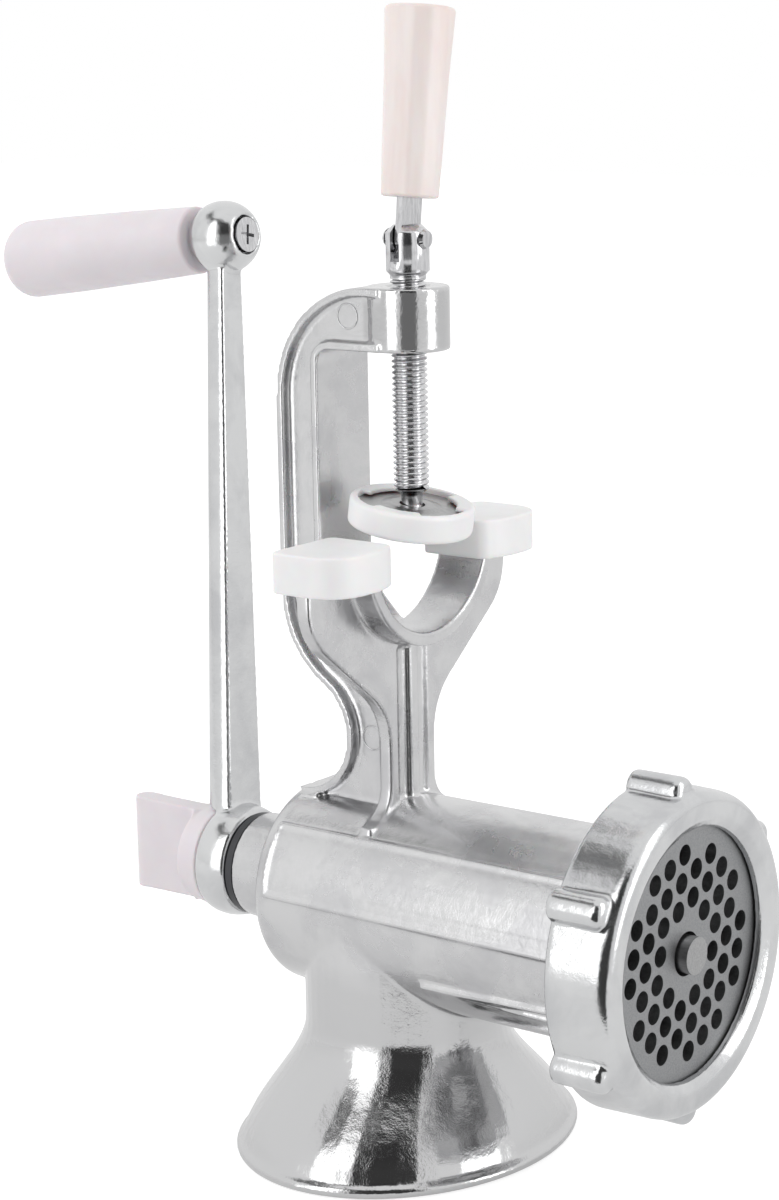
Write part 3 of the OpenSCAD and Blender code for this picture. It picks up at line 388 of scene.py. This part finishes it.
def material(name):
    """The finish of that name, made when it is first asked for."""
    made = bpy.data.materials.get(name)
    if made:
        return made
    c = colours()
    metal = {"Metallic": 1.0}
    soft = {"Metallic": 0.0, "IOR": 1.5, "Subsurface_Weight": 0.25, "Subsurface_Scale": 0.002}
    recipes = {
        "Cast Aluminium": lambda n: finish(
            n, cast_skin(), c.casting, 0.00016, 0.5,
            inputs={"Lump Size": 380.0, "Grain Depth": 0.34, "Polish": 0.20, "Dullness": 0.14},
            zones=casting_zones, **metal),
        "Polished Aluminium": lambda n: finish(
            n, cast_skin(), c.nut, 0.00018, 0.5,
            inputs={"Lump Size": 330.0, "Grain Depth": 0.3, "Polish": 0.11, "Dullness": 0.12}, **metal),
        "Rough Aluminium": lambda n: finish(
            n, cast_skin(), c.auger, 0.0003, 0.8,
            inputs={"Lump Size": 500.0, "Grain Depth": 0.6, "Polish": 0.3, "Dullness": 0.2}, **metal),
        "Ground Plate": lambda n: finish(
            n, ground_metal(), c.plate, 0.00004, 0.5,
            inputs={"Line Size": 2600.0, "Polish": 0.34, "Dullness": 0.16}, **metal),
        "Steel": lambda n: finish(
            n, ground_metal(), c.steel, 0.00004, 0.4, stretch=(0.15, 1, 1),
            inputs={"Line Size": 2400.0, "Polish": 0.22, "Dullness": 0.2}, **metal),
        "Bright Steel": lambda n: finish(
            n, ground_metal(), c.bright, 0.00002, 0.3, stretch=(1, 1, 0.2),
            inputs={"Line Size": 1500.0, "Polish": 0.09, "Dullness": 0.16}, **metal),
        "Black Nylon": lambda n: finish(
            n, moulded_plastic(), c.bush, 0.00003, 0.3,
            inputs={"Shade": (1.6, 1.6, 1.6, 1), "Gloss": 0.36}, Metallic=0.0),
        "White Plastic": lambda n: finish(
            n, moulded_plastic(), c.white, 0.00003, 0.25,
            inputs={"Shade": (0.95, 0.95, 0.955, 1), "Gloss": 0.34}, **soft),
        "Lilac Plastic": lambda n: finish(
            n, moulded_plastic(), c.lilac, 0.00003, 0.25,
            inputs={"Shade": (0.95, 0.945, 0.95, 1), "Gloss": 0.32}, **soft),
        "Cream Plastic": lambda n: finish(
            n, moulded_plastic(), c.cream, 0.00003, 0.25, stretch=(1.6, 1.6, 0.25),
            inputs={"Shade": (0.95, 0.90, 0.885, 1), "Cloud Size": 130.0, "Gloss": 0.3}, **soft),
        "Natural Nylon": lambda n: finish(
            n, moulded_plastic(), c.washer, 0.00003, 0.25, inputs={"Gloss": 0.4}, **soft),
    }
    return recipes[name](name)


def paint(node, name):
    """Gives a model node its finish in place of the plain one."""
    mesh = NODES[node].data
    mesh.materials.clear()
    mesh.materials.append(material(name))


# ---------------------------------------------------------------- mesh helpers

def merged_copy(*nodes):
    """One bmesh with the merged triangles of those nodes."""
    bm = bmesh.new()
    for n in nodes:
        bm.from_mesh(NODES[n].data)
    bmesh.ops.remove_doubles(bm, verts=bm.verts, dist=1e-7)
    return bm


def pour(part, bm):
    """Adds one bmesh to another and frees the first."""
    mesh = bpy.data.meshes.new("part")
    part.to_mesh(mesh)
    part.free()
    bm.from_mesh(mesh)
    bpy.data.meshes.remove(mesh)


def piece(name, bm, body, slot, finish_name, *replaced):
    """A finished piece from a bmesh: it rides on a body and stands for the named nodes."""
    mesh = bpy.data.meshes.new(name)
    bm.to_mesh(mesh)
    bm.free()
    mesh.materials.append(material(finish_name))
    mesh.shade_smooth()
    obj = bpy.data.objects.new(name, mesh)
    bpy.context.scene.collection.objects.link(obj)
    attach(obj, body)
    if replaced:
        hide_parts(*replaced)
    return obj


def settle(obj):
    """Turns an object's modifiers into plain mesh."""
    graph = bpy.context.evaluated_depsgraph_get()
    mesh = bpy.data.meshes.new_from_object(obj.evaluated_get(graph))
    obj.modifiers.clear()
    old = obj.data
    obj.data = mesh
    bpy.data.meshes.remove(old)
    mesh.shade_smooth()
    return obj


def soften(obj, grid, steps, most):
    """Rounds every edge and inner corner of a piece on a fine grid, with at most that many triangles."""
    grow = obj.modifiers.new("Grid", "REMESH")
    grow.mode = "VOXEL"
    grow.voxel_size = grid
    grow.use_smooth_shade = True
    calm = obj.modifiers.new("Calm", "SMOOTH")
    calm.factor = 0.5
    calm.iterations = steps
    settle(obj)
    count = sum(len(p.vertices) - 2 for p in obj.data.polygons)
    if count > most:
        thin = obj.modifiers.new("Thin", "DECIMATE")
        thin.ratio = most / count
        settle(obj)
    return obj


def turned(outline, place, steps=72):
    """A round body turned from an outline of (radius, height) about Z, then put in place."""
    bm = bmesh.new()
    rim = [bm.verts.new((r, 0, h)) for r, h in outline]
    edges = [bm.edges.new(pair) for pair in zip(rim, rim[1:])]
    bmesh.ops.spin(
        bm, geom=rim + edges, cent=(0, 0, 0), axis=(0, 0, 1), angle=2 * pi, steps=steps, use_merge=True,
    )
    bmesh.ops.remove_doubles(bm, verts=bm.verts, dist=1e-7)
    bmesh.ops.recalc_face_normals(bm, faces=bm.faces)
    bmesh.ops.transform(bm, matrix=place, verts=bm.verts)
    return bm


def along(axis, at):
    """A matrix that stands +Z on a direction at a point."""
    turn = Vector((0, 0, 1)).rotation_difference(Vector(axis)).to_matrix().to_4x4()
    return Matrix.Translation(Vector(at)) @ turn


def add_bead(bm, start, end, radius):
    """A thin round bar between two points, for a raised line."""
    start, end = Vector(start), Vector(end)
    place = along((end - start).normalized(), (start + end) / 2)
    bmesh.ops.create_cone(
        bm, cap_ends=True, segments=12, radius1=radius, radius2=radius,
        depth=(end - start).length, matrix=place,
    )


def add_rim(bm, halves, height, radius):
    """A rolled edge round the oval mouth, at a height over the floor."""
    turns, around = 120, 12
    rings = []
    for i in range(turns):
        a = 2 * pi * i / turns
        out = Vector((cos(a) / halves[0], sin(a) / halves[1], 0)).normalized()
        centre = Vector((halves[0] * cos(a), halves[1] * sin(a), height))
        rings.append([
            bm.verts.new(centre + radius * (cos(b) * out + Vector((0, 0, sin(b)))))
            for b in (2 * pi * k / around for k in range(around))
        ])
    for i in range(turns):
        one, other = rings[i], rings[(i + 1) % turns]
        for k in range(around):
            bm.faces.new((one[k - 1], other[k - 1], other[k], one[k]))


def on_barrel(x, angle, r, axis_z, side):
    """A point round the barrel, at an angle in degrees above its axis, on one side or the other."""
    a = radians(angle)
    return (x, -side * r * cos(a), axis_z + r * sin(a))


def add_panel(bm, axis_z, ends, angles, radii, side):
    """A curved panel along the barrel: its ends on X, its edges in degrees above the axis, its two radii."""
    steps = 24
    section = ((ends[0], radii[0]), (ends[0], radii[1]), (ends[1], radii[1]), (ends[1], radii[0]))
    rings = []
    for i in range(steps + 1):
        angle = angles[0] + (angles[1] - angles[0]) * i / steps
        rings.append([bm.verts.new(on_barrel(x, angle, r, axis_z, side)) for x, r in section])
    faces = [bm.faces.new(rings[0]), bm.faces.new(rings[-1])]
    for one, other in zip(rings, rings[1:]):
        for k in range(4):
            faces.append(bm.faces.new((one[k], one[k - 1], other[k - 1], other[k])))
    bmesh.ops.recalc_face_normals(bm, faces=faces)


def corner(cx, cy, r, a0, a1, steps=5):
    """Points of a rounded corner, with angles in degrees."""
    angles = [radians(a0 + (a1 - a0) * i / steps) for i in range(steps + 1)]
    return [(cx + r * cos(a), cy + r * sin(a)) for a in angles]


# outlines of the two grips, in millimetres: (radius, distance along the grip)
CRANK_GRIP = [
    (0, 0), *corner(7.4, 0.8, 0.8, -90, 0, 4), (8.9, 20), (9.5, 40), *corner(4.7, 55, 5, 3, 90, 12), (0, 60),
]
CLAMP_GRIP = [
    (0, 8.9), *corner(5.7, 9.6, 0.7, -90, 0, 4), (6.7, 20), (7.1, 35),
    *corner(6.7, 48.8, 1.1, 5, 90, 6), (0, 49.9),
]


# ---------------------------------------------------------------- pieces

class GRINDER_OT_casting(bpy.types.Operator):
    """Makes the casting of barrel, hopper and bow, with the raised lines and marks of its mould"""

    bl_idname = "grinder.casting"
    bl_label = "Casting"

    def execute(self, context):
        s = sizes()
        axis_z = Vector(JOINTS["crank_spin"]["pos_m"]).z
        top = BARREL_R + s.panel
        rear, front = LINE_ENDS
        # raised lines: X and angle of one end, X and angle of the other, radius in bead radii
        lines = [(rear, 45.2, front, 45.2, 1), (rear, 5.2, front, 4.2, 1)]
        lines += [(rear, low, rear, low + 4.5, 1) for low in range(5, 45, 4)]
        lines += [(LEDGE_REAR, -30, front, -27, 1.4), (LEDGE_REAR, -31, front, -35, 1.2)]
        bm = merged_copy("barrel", "hopper", "clamp_frame")
        for side in (1, -1):
            add_panel(bm, axis_z, PANEL_ENDS, PANEL_EDGES, (BARREL_R - PANEL_ROOT, top), side)
            for x0, start, x1, end, thick in lines:
                one = on_barrel(x0, start, top, axis_z, side)
                other = on_barrel(x1, end, top, axis_z, side)
                add_bead(bm, one, other, s.bead * thick)
        add_rim(bm, RIM_HALVES, RIM_HEIGHT, RIM_R)
        obj = piece("cast_body", bm, "casting", "body_casting", "Cast Aluminium",
                    "barrel", "hopper", "clamp_frame")
        soften(obj, s.body_grid, steps=4, most=150000)
        bm = bmesh.new()
        for x, z in MARK_SPOTS:
            for side in (-1, 1):
                self.mark(bm, Vector((x, side * MARK_SIDE, z)), s.pin_mark)
        piece("ejector_marks", bm, "casting", "body_casting", "Cast Aluminium")
        return {"FINISHED"}

    def mark(self, bm, at, radius):
        """A thin raised ring on the side of the bow."""
        ring = bmesh.new()
        place = Matrix.Translation((radius, 0, 0)) @ Matrix.Rotation(pi / 2, 4, "X")
        bmesh.ops.create_circle(ring, segments=10, radius=MARK_WIRE_R, matrix=place)
        bmesh.ops.spin(ring, geom=ring.verts[:] + ring.edges[:], cent=(0, 0, 0), axis=(0, 0, 1),
                       angle=2 * pi, steps=40, use_merge=True)
        bmesh.ops.remove_doubles(ring, verts=ring.verts, dist=1e-7)
        bmesh.ops.recalc_face_normals(ring, faces=ring.faces)
        bmesh.ops.transform(ring, matrix=along((0, 1, 0), at), verts=ring.verts)
        pour(ring, bm)


class GRINDER_OT_ring_nut(bpy.types.Operator):
    """Makes the ring nut, its lugs blended into its wall"""

    bl_idname = "grinder.ring_nut"
    bl_label = "Ring nut"

    def execute(self, context):
        obj = piece("ring_nut_skin", merged_copy("ring_nut"), "nut", "nut_casting", "Polished Aluminium",
                    "ring_nut")
        soften(obj, sizes().nut_grid, steps=6, most=90000)
        return {"FINISHED"}


class GRINDER_OT_crank(bpy.types.Operator):
    """Makes the crank, its hub, arm and ball blended into one casting"""

    bl_idname = "grinder.crank"
    bl_label = "Crank"

    def execute(self, context):
        bm = merged_copy("crank_arm")
        long_edges = [
            e for e in bm.edges if e.calc_length() > ARM_EDGE and e.calc_face_angle(0) > ARM_EDGE_TURN
        ]
        bmesh.ops.bevel(bm, geom=long_edges, offset=ARM_ROUND, segments=5, profile=0.5, affect="EDGES")
        obj = piece("crank_casting", bm, "crank", "nut_casting", "Polished Aluminium", "crank_arm")
        soften(obj, sizes().nut_grid, steps=8, most=80000)
        return {"FINISHED"}


class GRINDER_OT_clamp_screw(bpy.types.Operator):
    """Makes the clamp screw with its rolled thread and its slotted head"""

    bl_idname = "grinder.clamp_screw"
    bl_label = "Clamp screw"

    def execute(self, context):
        s = sizes()
        x, y, _ = JOINTS["clamp_screw_turn"]["pos_m"]
        low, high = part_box("clamp_screw")
        head = high.z - HEAD_LENGTH
        shank = low.z + STEM_LENGTH
        turns = int((head - HEAD_GAP - shank) / s.thread_pitch)
        bm = bmesh.new()
        rim = [
            bm.verts.new((SCREW_R - s.thread_depth * deep, 0, shank + (t + part) * s.thread_pitch))
            for t in range(turns) for part, deep in THREAD_PROFILE
        ]
        edges = [bm.edges.new(pair) for pair in zip(rim, rim[1:])]
        steps = 36
        bmesh.ops.spin(bm, geom=rim + edges, cent=(0, 0, 0), axis=(0, 0, 1), angle=2 * pi, steps=steps,
                       dvec=(0, 0, s.thread_pitch / steps))
        bmesh.ops.remove_doubles(bm, verts=bm.verts, dist=1e-6)
        bmesh.ops.holes_fill(bm, edges=[e for e in bm.edges if e.is_boundary], sides=0)
        bmesh.ops.recalc_face_normals(bm, faces=bm.faces)
        bmesh.ops.translate(bm, verts=bm.verts, vec=(x, y, 0))
        for cut, upper in ((head - HEAD_OVERLAP, True), (shank + STEM_OVERLAP, False)):
            end = merged_copy("clamp_screw")
            bmesh.ops.bisect_plane(end, geom=end.verts[:] + end.edges[:] + end.faces[:],
                                   plane_co=(0, 0, cut), plane_no=(0, 0, 1),
                                   clear_inner=upper, clear_outer=not upper)
            bmesh.ops.holes_fill(end, edges=[e for e in end.edges if e.is_boundary], sides=0)
            pour(end, bm)
        obj = piece("threaded_screw", bm, "screw", "bright_steel", "Bright Steel", "clamp_screw")
        obj.data.set_sharp_from_angle(angle=radians(40))
        return {"FINISHED"}


class GRINDER_OT_swivel_pad(bpy.types.Operator):
    """Makes the plastic cup of the swivel pad"""

    bl_idname = "grinder.swivel_pad"
    bl_label = "Swivel pad"

    def execute(self, context):
        obj = piece("swivel_cup_skin", merged_copy("swivel_cup"), "swivel_pad", "white_plastic",
                    "White Plastic", "swivel_cup")
        soften(obj, sizes().plastic_grid * CUP_GRID_SHARE, steps=6, most=60000)
        paint("swivel_disc", "Steel")
        return {"FINISHED"}


class GRINDER_OT_table_pads(bpy.types.Operator):
    """Makes the two plastic caps on the fork's tips"""

    bl_idname = "grinder.table_pads"
    bl_label = "Table pads"

    def execute(self, context):
        for side in ("left", "right"):
            node = side + "_table_pad"
            obj = piece(node + "_skin", merged_copy(node), "casting", "white_plastic", "White Plastic", node)
            soften(obj, sizes().plastic_grid, steps=10, most=30000)
        return {"FINISHED"}


class GRINDER_OT_grips(bpy.types.Operator):
    """Makes the crank's grip, the clamp's fluted grip and the thumb screw's wing"""

    bl_idname = "grinder.grips"
    bl_label = "Grips and thumb screw"

    def execute(self, context):
        s = sizes()
        spin = JOINTS["grip_spin"]
        start = Vector(spin["pos_m"]) + GRIP_START * Vector(spin["axis"])
        bm = turned([(a * MM, b * MM) for a, b in CRANK_GRIP], along(spin["axis"], start))
        piece("crank_grip_body", bm, "grip", "lilac_plastic", "Lilac Plastic", "crank_grip")

        pivot = Vector(JOINTS["handle_fold"]["pos_m"])
        bm = turned([(a * MM, b * MM) for a, b in CLAMP_GRIP], Matrix.Identity(4), steps=96)
        for v in bm.verts:
            flat = Vector((v.co.x, v.co.y))
            if s.flutes and flat.length > FLUTED_FROM:
                turn = flat.angle_signed(Vector((1, 0)))
                flat *= 1 - s.flute_depth / flat.length * (0.5 - 0.5 * cos(s.flutes * turn))
                v.co.x, v.co.y = flat
        place = Matrix.Translation(pivot) @ Matrix.Rotation(-s.handle_lean, 4, "X")
        bmesh.ops.transform(bm, matrix=place, verts=bm.verts)
        piece("clamp_grip_body", bm, "handle", "cream_plastic", "Cream Plastic", "handle_grip")

        obj = piece("thumb_wing_skin", merged_copy("thumb_screw_wing"), "thumb_screw", "lilac_plastic",
                    "Lilac Plastic", "thumb_screw_wing")
        soften(obj, s.plastic_grid, steps=14, most=40000)
        return {"FINISHED"}


class GRINDER_OT_metal_parts(bpy.types.Operator):
    """Gives the plate, knife, auger, studs and bush their finishes"""

    bl_idname = "grinder.metal_parts"
    bl_label = "Plate, auger and small parts"

    def execute(self, context):
        for node, name in {
            "hole_plate": "Ground Plate", "cutting_knife": "Steel", "auger": "Rough Aluminium",
            "auger_stud": "Steel", "plate_key": "Steel", "rear_bush": "Black Nylon",
            "thrust_washer": "Natural Nylon", "thumb_screw_stud": "Bright Steel",
            "crank_grip_screw": "Bright Steel", "handle_rivet": "Bright Steel",
            "handle_tongue": "Bright Steel",
        }.items():
            paint(node, name)
        return {"FINISHED"}


class GRINDER_OT_stage(bpy.types.Operator):
    """Makes the floor, the lamps, the dark cards and the camera"""

    bl_idname = "grinder.stage"
    bl_label = "Stage"

    def execute(self, context):
        scene = bpy.context.scene
        scene.view_settings.view_transform = "Standard"
        self.world(scene)
        self.floor()
        middle = Vector((0.0, 0.0, 0.11))
        facing = Vector((-LOOK.x, -LOOK.y, 0)).normalized()
        across = Vector((0, 0, 1)).cross(facing)
        # dark cards: towards the camera, low in front of the hopper, and high on the left
        self.card("camera_card", facing * 0.5 + Vector((0, 0, 0.16)), middle,
                  width=0.42, height=0.32, shade=0.22, upright=True)
        self.card("upper_card", facing * 0.5 + Vector((0, 0, 0.62)), middle,
                  width=0.46, height=0.6, shade=0.04, upright=True)
        self.card("hopper_card", facing * 0.15 + Vector((0, 0, 0.057)), middle,
                  width=0.12, height=0.11, shade=0.05, upright=True)
        self.card("front_card", Vector((-0.03, -0.66, 1.12)), middle, width=0.95, height=0.36, shade=0.10)
        self.card("high_card", Vector((-0.58, -0.31, 1.13)), middle, width=0.42, height=0.30, shade=0.17)
        # soft boxes that only shine in the metal, on both sides of the camera
        level = Vector((0, 0, 0.3))
        for name, turn, size in (("left_box", -48, 0.28), ("right_box", 66, 0.22)):
            a = radians(turn)
            at = (facing * cos(a) + across * sin(a)) * 0.6 + level
            self.lamp(name, at, level, size=size, power=2.2, tall=1.5).visible_diffuse = False
        self.lamp("key", (-0.9, -0.55, 0.75), middle, size=0.9, power=5.0).visible_glossy = False
        self.lamp("fill", (1.0, 0.1, 0.55), middle, size=0.9, power=3.0).visible_glossy = False
        self.lamp("top", (0.1, 0.3, 1.3), middle, size=1.0, power=0.8).visible_glossy = False
        camera = bpy.data.objects.new("Camera", bpy.data.cameras.new("Camera"))
        camera.data.lens = LENS
        camera.data.sensor_width = SENSOR
        camera.data.clip_start = 0.01
        turn = Matrix((RIGHT, UP, -LOOK)).transposed().to_4x4()
        camera.matrix_world = Matrix.Translation(EYE) @ turn
        scene.collection.objects.link(camera)
        scene.camera = camera
        return {"FINISHED"}

    def world(self, scene):
        """A bright room, set apart for matt surfaces, for polished ones and for the camera."""
        world = bpy.data.worlds.new("Studio")
        scene.world = world
        world.use_nodes = True
        tree = world.node_tree
        tree.nodes.clear()
        rays = add(tree, "ShaderNodeLightPath", (-800, 0))
        place = add(tree, "ShaderNodeTexCoord", (-1000, -250))
        parts = add(tree, "ShaderNodeSeparateXYZ", (-800, -250), Vector=place.outputs["Generated"])
        rise = add(tree, "ShaderNodeMapRange", (-600, -250), Value=parts.outputs["Z"],
                   From_Min=-0.05, From_Max=0.35, To_Min=FLOOR_SHINE, To_Max=1.0)
        light = add(tree, "ShaderNodeBackground", (-200, -100), Color=grey(1), Strength=ROOM_LIGHT)
        white = add(tree, "ShaderNodeBackground", (-200, -250), Color=grey(1), Strength=1.0)
        shone = add(tree, "ShaderNodeBackground", (-200, -400), Color=grey(1),
                    Strength=rise.outputs["Result"])
        seen = maths(tree, "MAXIMUM", (-600, 100), rays.outputs["Is Camera Ray"],
                     rays.outputs["Is Transmission Ray"])
        mix = add(tree, "ShaderNodeMixShader", (0, 0), Fac=rays.outputs["Is Glossy Ray"])
        tree.links.new(light.outputs[0], mix.inputs[1])
        tree.links.new(shone.outputs[0], mix.inputs[2])
        last = add(tree, "ShaderNodeMixShader", (200, 0), Fac=seen)
        tree.links.new(mix.outputs[0], last.inputs[1])
        tree.links.new(white.outputs[0], last.inputs[2])
        out = add(tree, "ShaderNodeOutputWorld", (400, 0))
        tree.links.new(last.outputs[0], out.inputs["Surface"])

    def floor(self):
        """White paper under the part, set apart for matt surfaces in the same way."""
        bm = bmesh.new()
        bmesh.ops.create_grid(bm, x_segments=1, y_segments=1, size=3.0)
        mesh = bpy.data.meshes.new("floor")
        bm.to_mesh(mesh)
        bm.free()
        paper = bpy.data.materials.new("White Paper")
        paper.use_nodes = True
        tree = paper.node_tree
        tree.nodes.clear()
        rays = add(tree, "ShaderNodeLightPath", (-600, 0))
        dull = add(tree, "ShaderNodeBsdfDiffuse", (-200, 100), Color=grey(PAPER))
        paper_light = add(tree, "ShaderNodeBsdfDiffuse", (-200, 250), Color=grey(PAPER_BOUNCE))
        seen = maths(tree, "MAXIMUM", (-400, 250), rays.outputs["Is Camera Ray"],
                     rays.outputs["Is Glossy Ray"])
        level = add(tree, "ShaderNodeMapRange", (-400, -50), Value=rays.outputs["Is Glossy Ray"],
                    To_Min=PAPER_GLOW, To_Max=FLOOR_SHINE - PAPER)
        lift = add(tree, "ShaderNodeEmission", (-200, -50), Color=grey(1),
                   Strength=level.outputs["Result"])
        both = add(tree, "ShaderNodeAddShader", (0, 0))
        tree.links.new(dull.outputs[0], both.inputs[0])
        tree.links.new(lift.outputs[0], both.inputs[1])
        mix = add(tree, "ShaderNodeMixShader", (200, 0), Fac=seen)
        tree.links.new(paper_light.outputs[0], mix.inputs[1])
        tree.links.new(both.outputs[0], mix.inputs[2])
        out = add(tree, "ShaderNodeOutputMaterial", (400, 0))
        tree.links.new(mix.outputs[0], out.inputs["Surface"])
        mesh.materials.append(paper)
        obj = bpy.data.objects.new("floor", mesh)
        bpy.context.scene.collection.objects.link(obj)

    def card(self, name, at, target, width, height, shade, upright=False):
        """A dark card that only shines in the metal."""
        bm = bmesh.new()
        bmesh.ops.create_grid(bm, x_segments=1, y_segments=1, size=0.5)
        bmesh.ops.scale(bm, vec=(width, height, 1), verts=bm.verts)
        towards = Vector(target) - at
        if upright:
            towards.z = 0
        face = towards.to_track_quat("Z", "Y").to_matrix().to_4x4()
        bmesh.ops.transform(bm, matrix=Matrix.Translation(at) @ face, verts=bm.verts)
        mesh = bpy.data.meshes.new(name)
        bm.to_mesh(mesh)
        bm.free()
        dark = bpy.data.materials.new(f"Dark Card {shade}")
        dark.use_nodes = True
        tree = dark.node_tree
        tree.nodes.clear()
        glow = add(tree, "ShaderNodeEmission", (0, 0), Color=grey(1), Strength=shade)
        out = add(tree, "ShaderNodeOutputMaterial", (200, 0))
        tree.links.new(glow.outputs[0], out.inputs["Surface"])
        mesh.materials.append(dark)
        obj = bpy.data.objects.new(name, mesh)
        bpy.context.scene.collection.objects.link(obj)
        obj.visible_camera = False
        obj.visible_diffuse = False
        obj.visible_transmission = False
        obj.visible_shadow = False

    def lamp(self, name, at, target, size, power, tall=None):
        """An area lamp that faces a target, square unless it is given another height."""
        light = bpy.data.lights.new(name, "AREA")
        light.shape = "RECTANGLE"
        light.size = size
        light.size_y = tall or size
        light.energy = power
        obj = bpy.data.objects.new(name, light)
        at = Vector(at)
        turn = (Vector(target) - at).to_track_quat("-Z", "Y").to_matrix().to_4x4()
        obj.matrix_world = Matrix.Translation(at) @ turn
        bpy.context.scene.collection.objects.link(obj)
        return obj


STEPS = (
    GRINDER_OT_casting, GRINDER_OT_ring_nut, GRINDER_OT_crank, GRINDER_OT_clamp_screw,
    GRINDER_OT_swivel_pad, GRINDER_OT_table_pads, GRINDER_OT_grips, GRINDER_OT_metal_parts,
    GRINDER_OT_stage,
)


class GRINDER_PT_panel(bpy.types.Panel):
    """Lists the grinder's sizes, colours and pieces"""

    bl_idname = "GRINDER_PT_panel"
    bl_label = "Meat grinder"
    bl_space_type = "VIEW_3D"
    bl_region_type = "UI"
    bl_category = "Grinder"

    def draw(self, context):
        for group in (context.scene.grinder_sizes, context.scene.grinder_colours):
            box = self.layout.box()
            for name in group.__annotations__:
                box.prop(group, name)
        for step in STEPS:
            self.layout.operator(step.bl_idname)


CLASSES = (GrinderSizes, GrinderColours, *STEPS, GRINDER_PT_panel)


def register():
    for c in CLASSES:
        bpy.utils.register_class(c)
    bpy.types.Scene.grinder_sizes = PointerProperty(type=GrinderSizes)
    bpy.types.Scene.grinder_colours = PointerProperty(type=GrinderColours)


def unregister():
    del bpy.types.Scene.grinder_sizes
    del bpy.types.Scene.grinder_colours
    for c in reversed(CLASSES):
        bpy.utils.unregister_class(c)


def main():
    register()
    bpy.ops.grinder.casting()
    bpy.ops.grinder.ring_nut()
    bpy.ops.grinder.crank()
    bpy.ops.grinder.clamp_screw()
    bpy.ops.grinder.swivel_pad()
    bpy.ops.grinder.table_pads()
    bpy.ops.grinder.grips()
    bpy.ops.grinder.metal_parts()
    bpy.ops.grinder.stage()


if __name__ == "__main__":
    main()
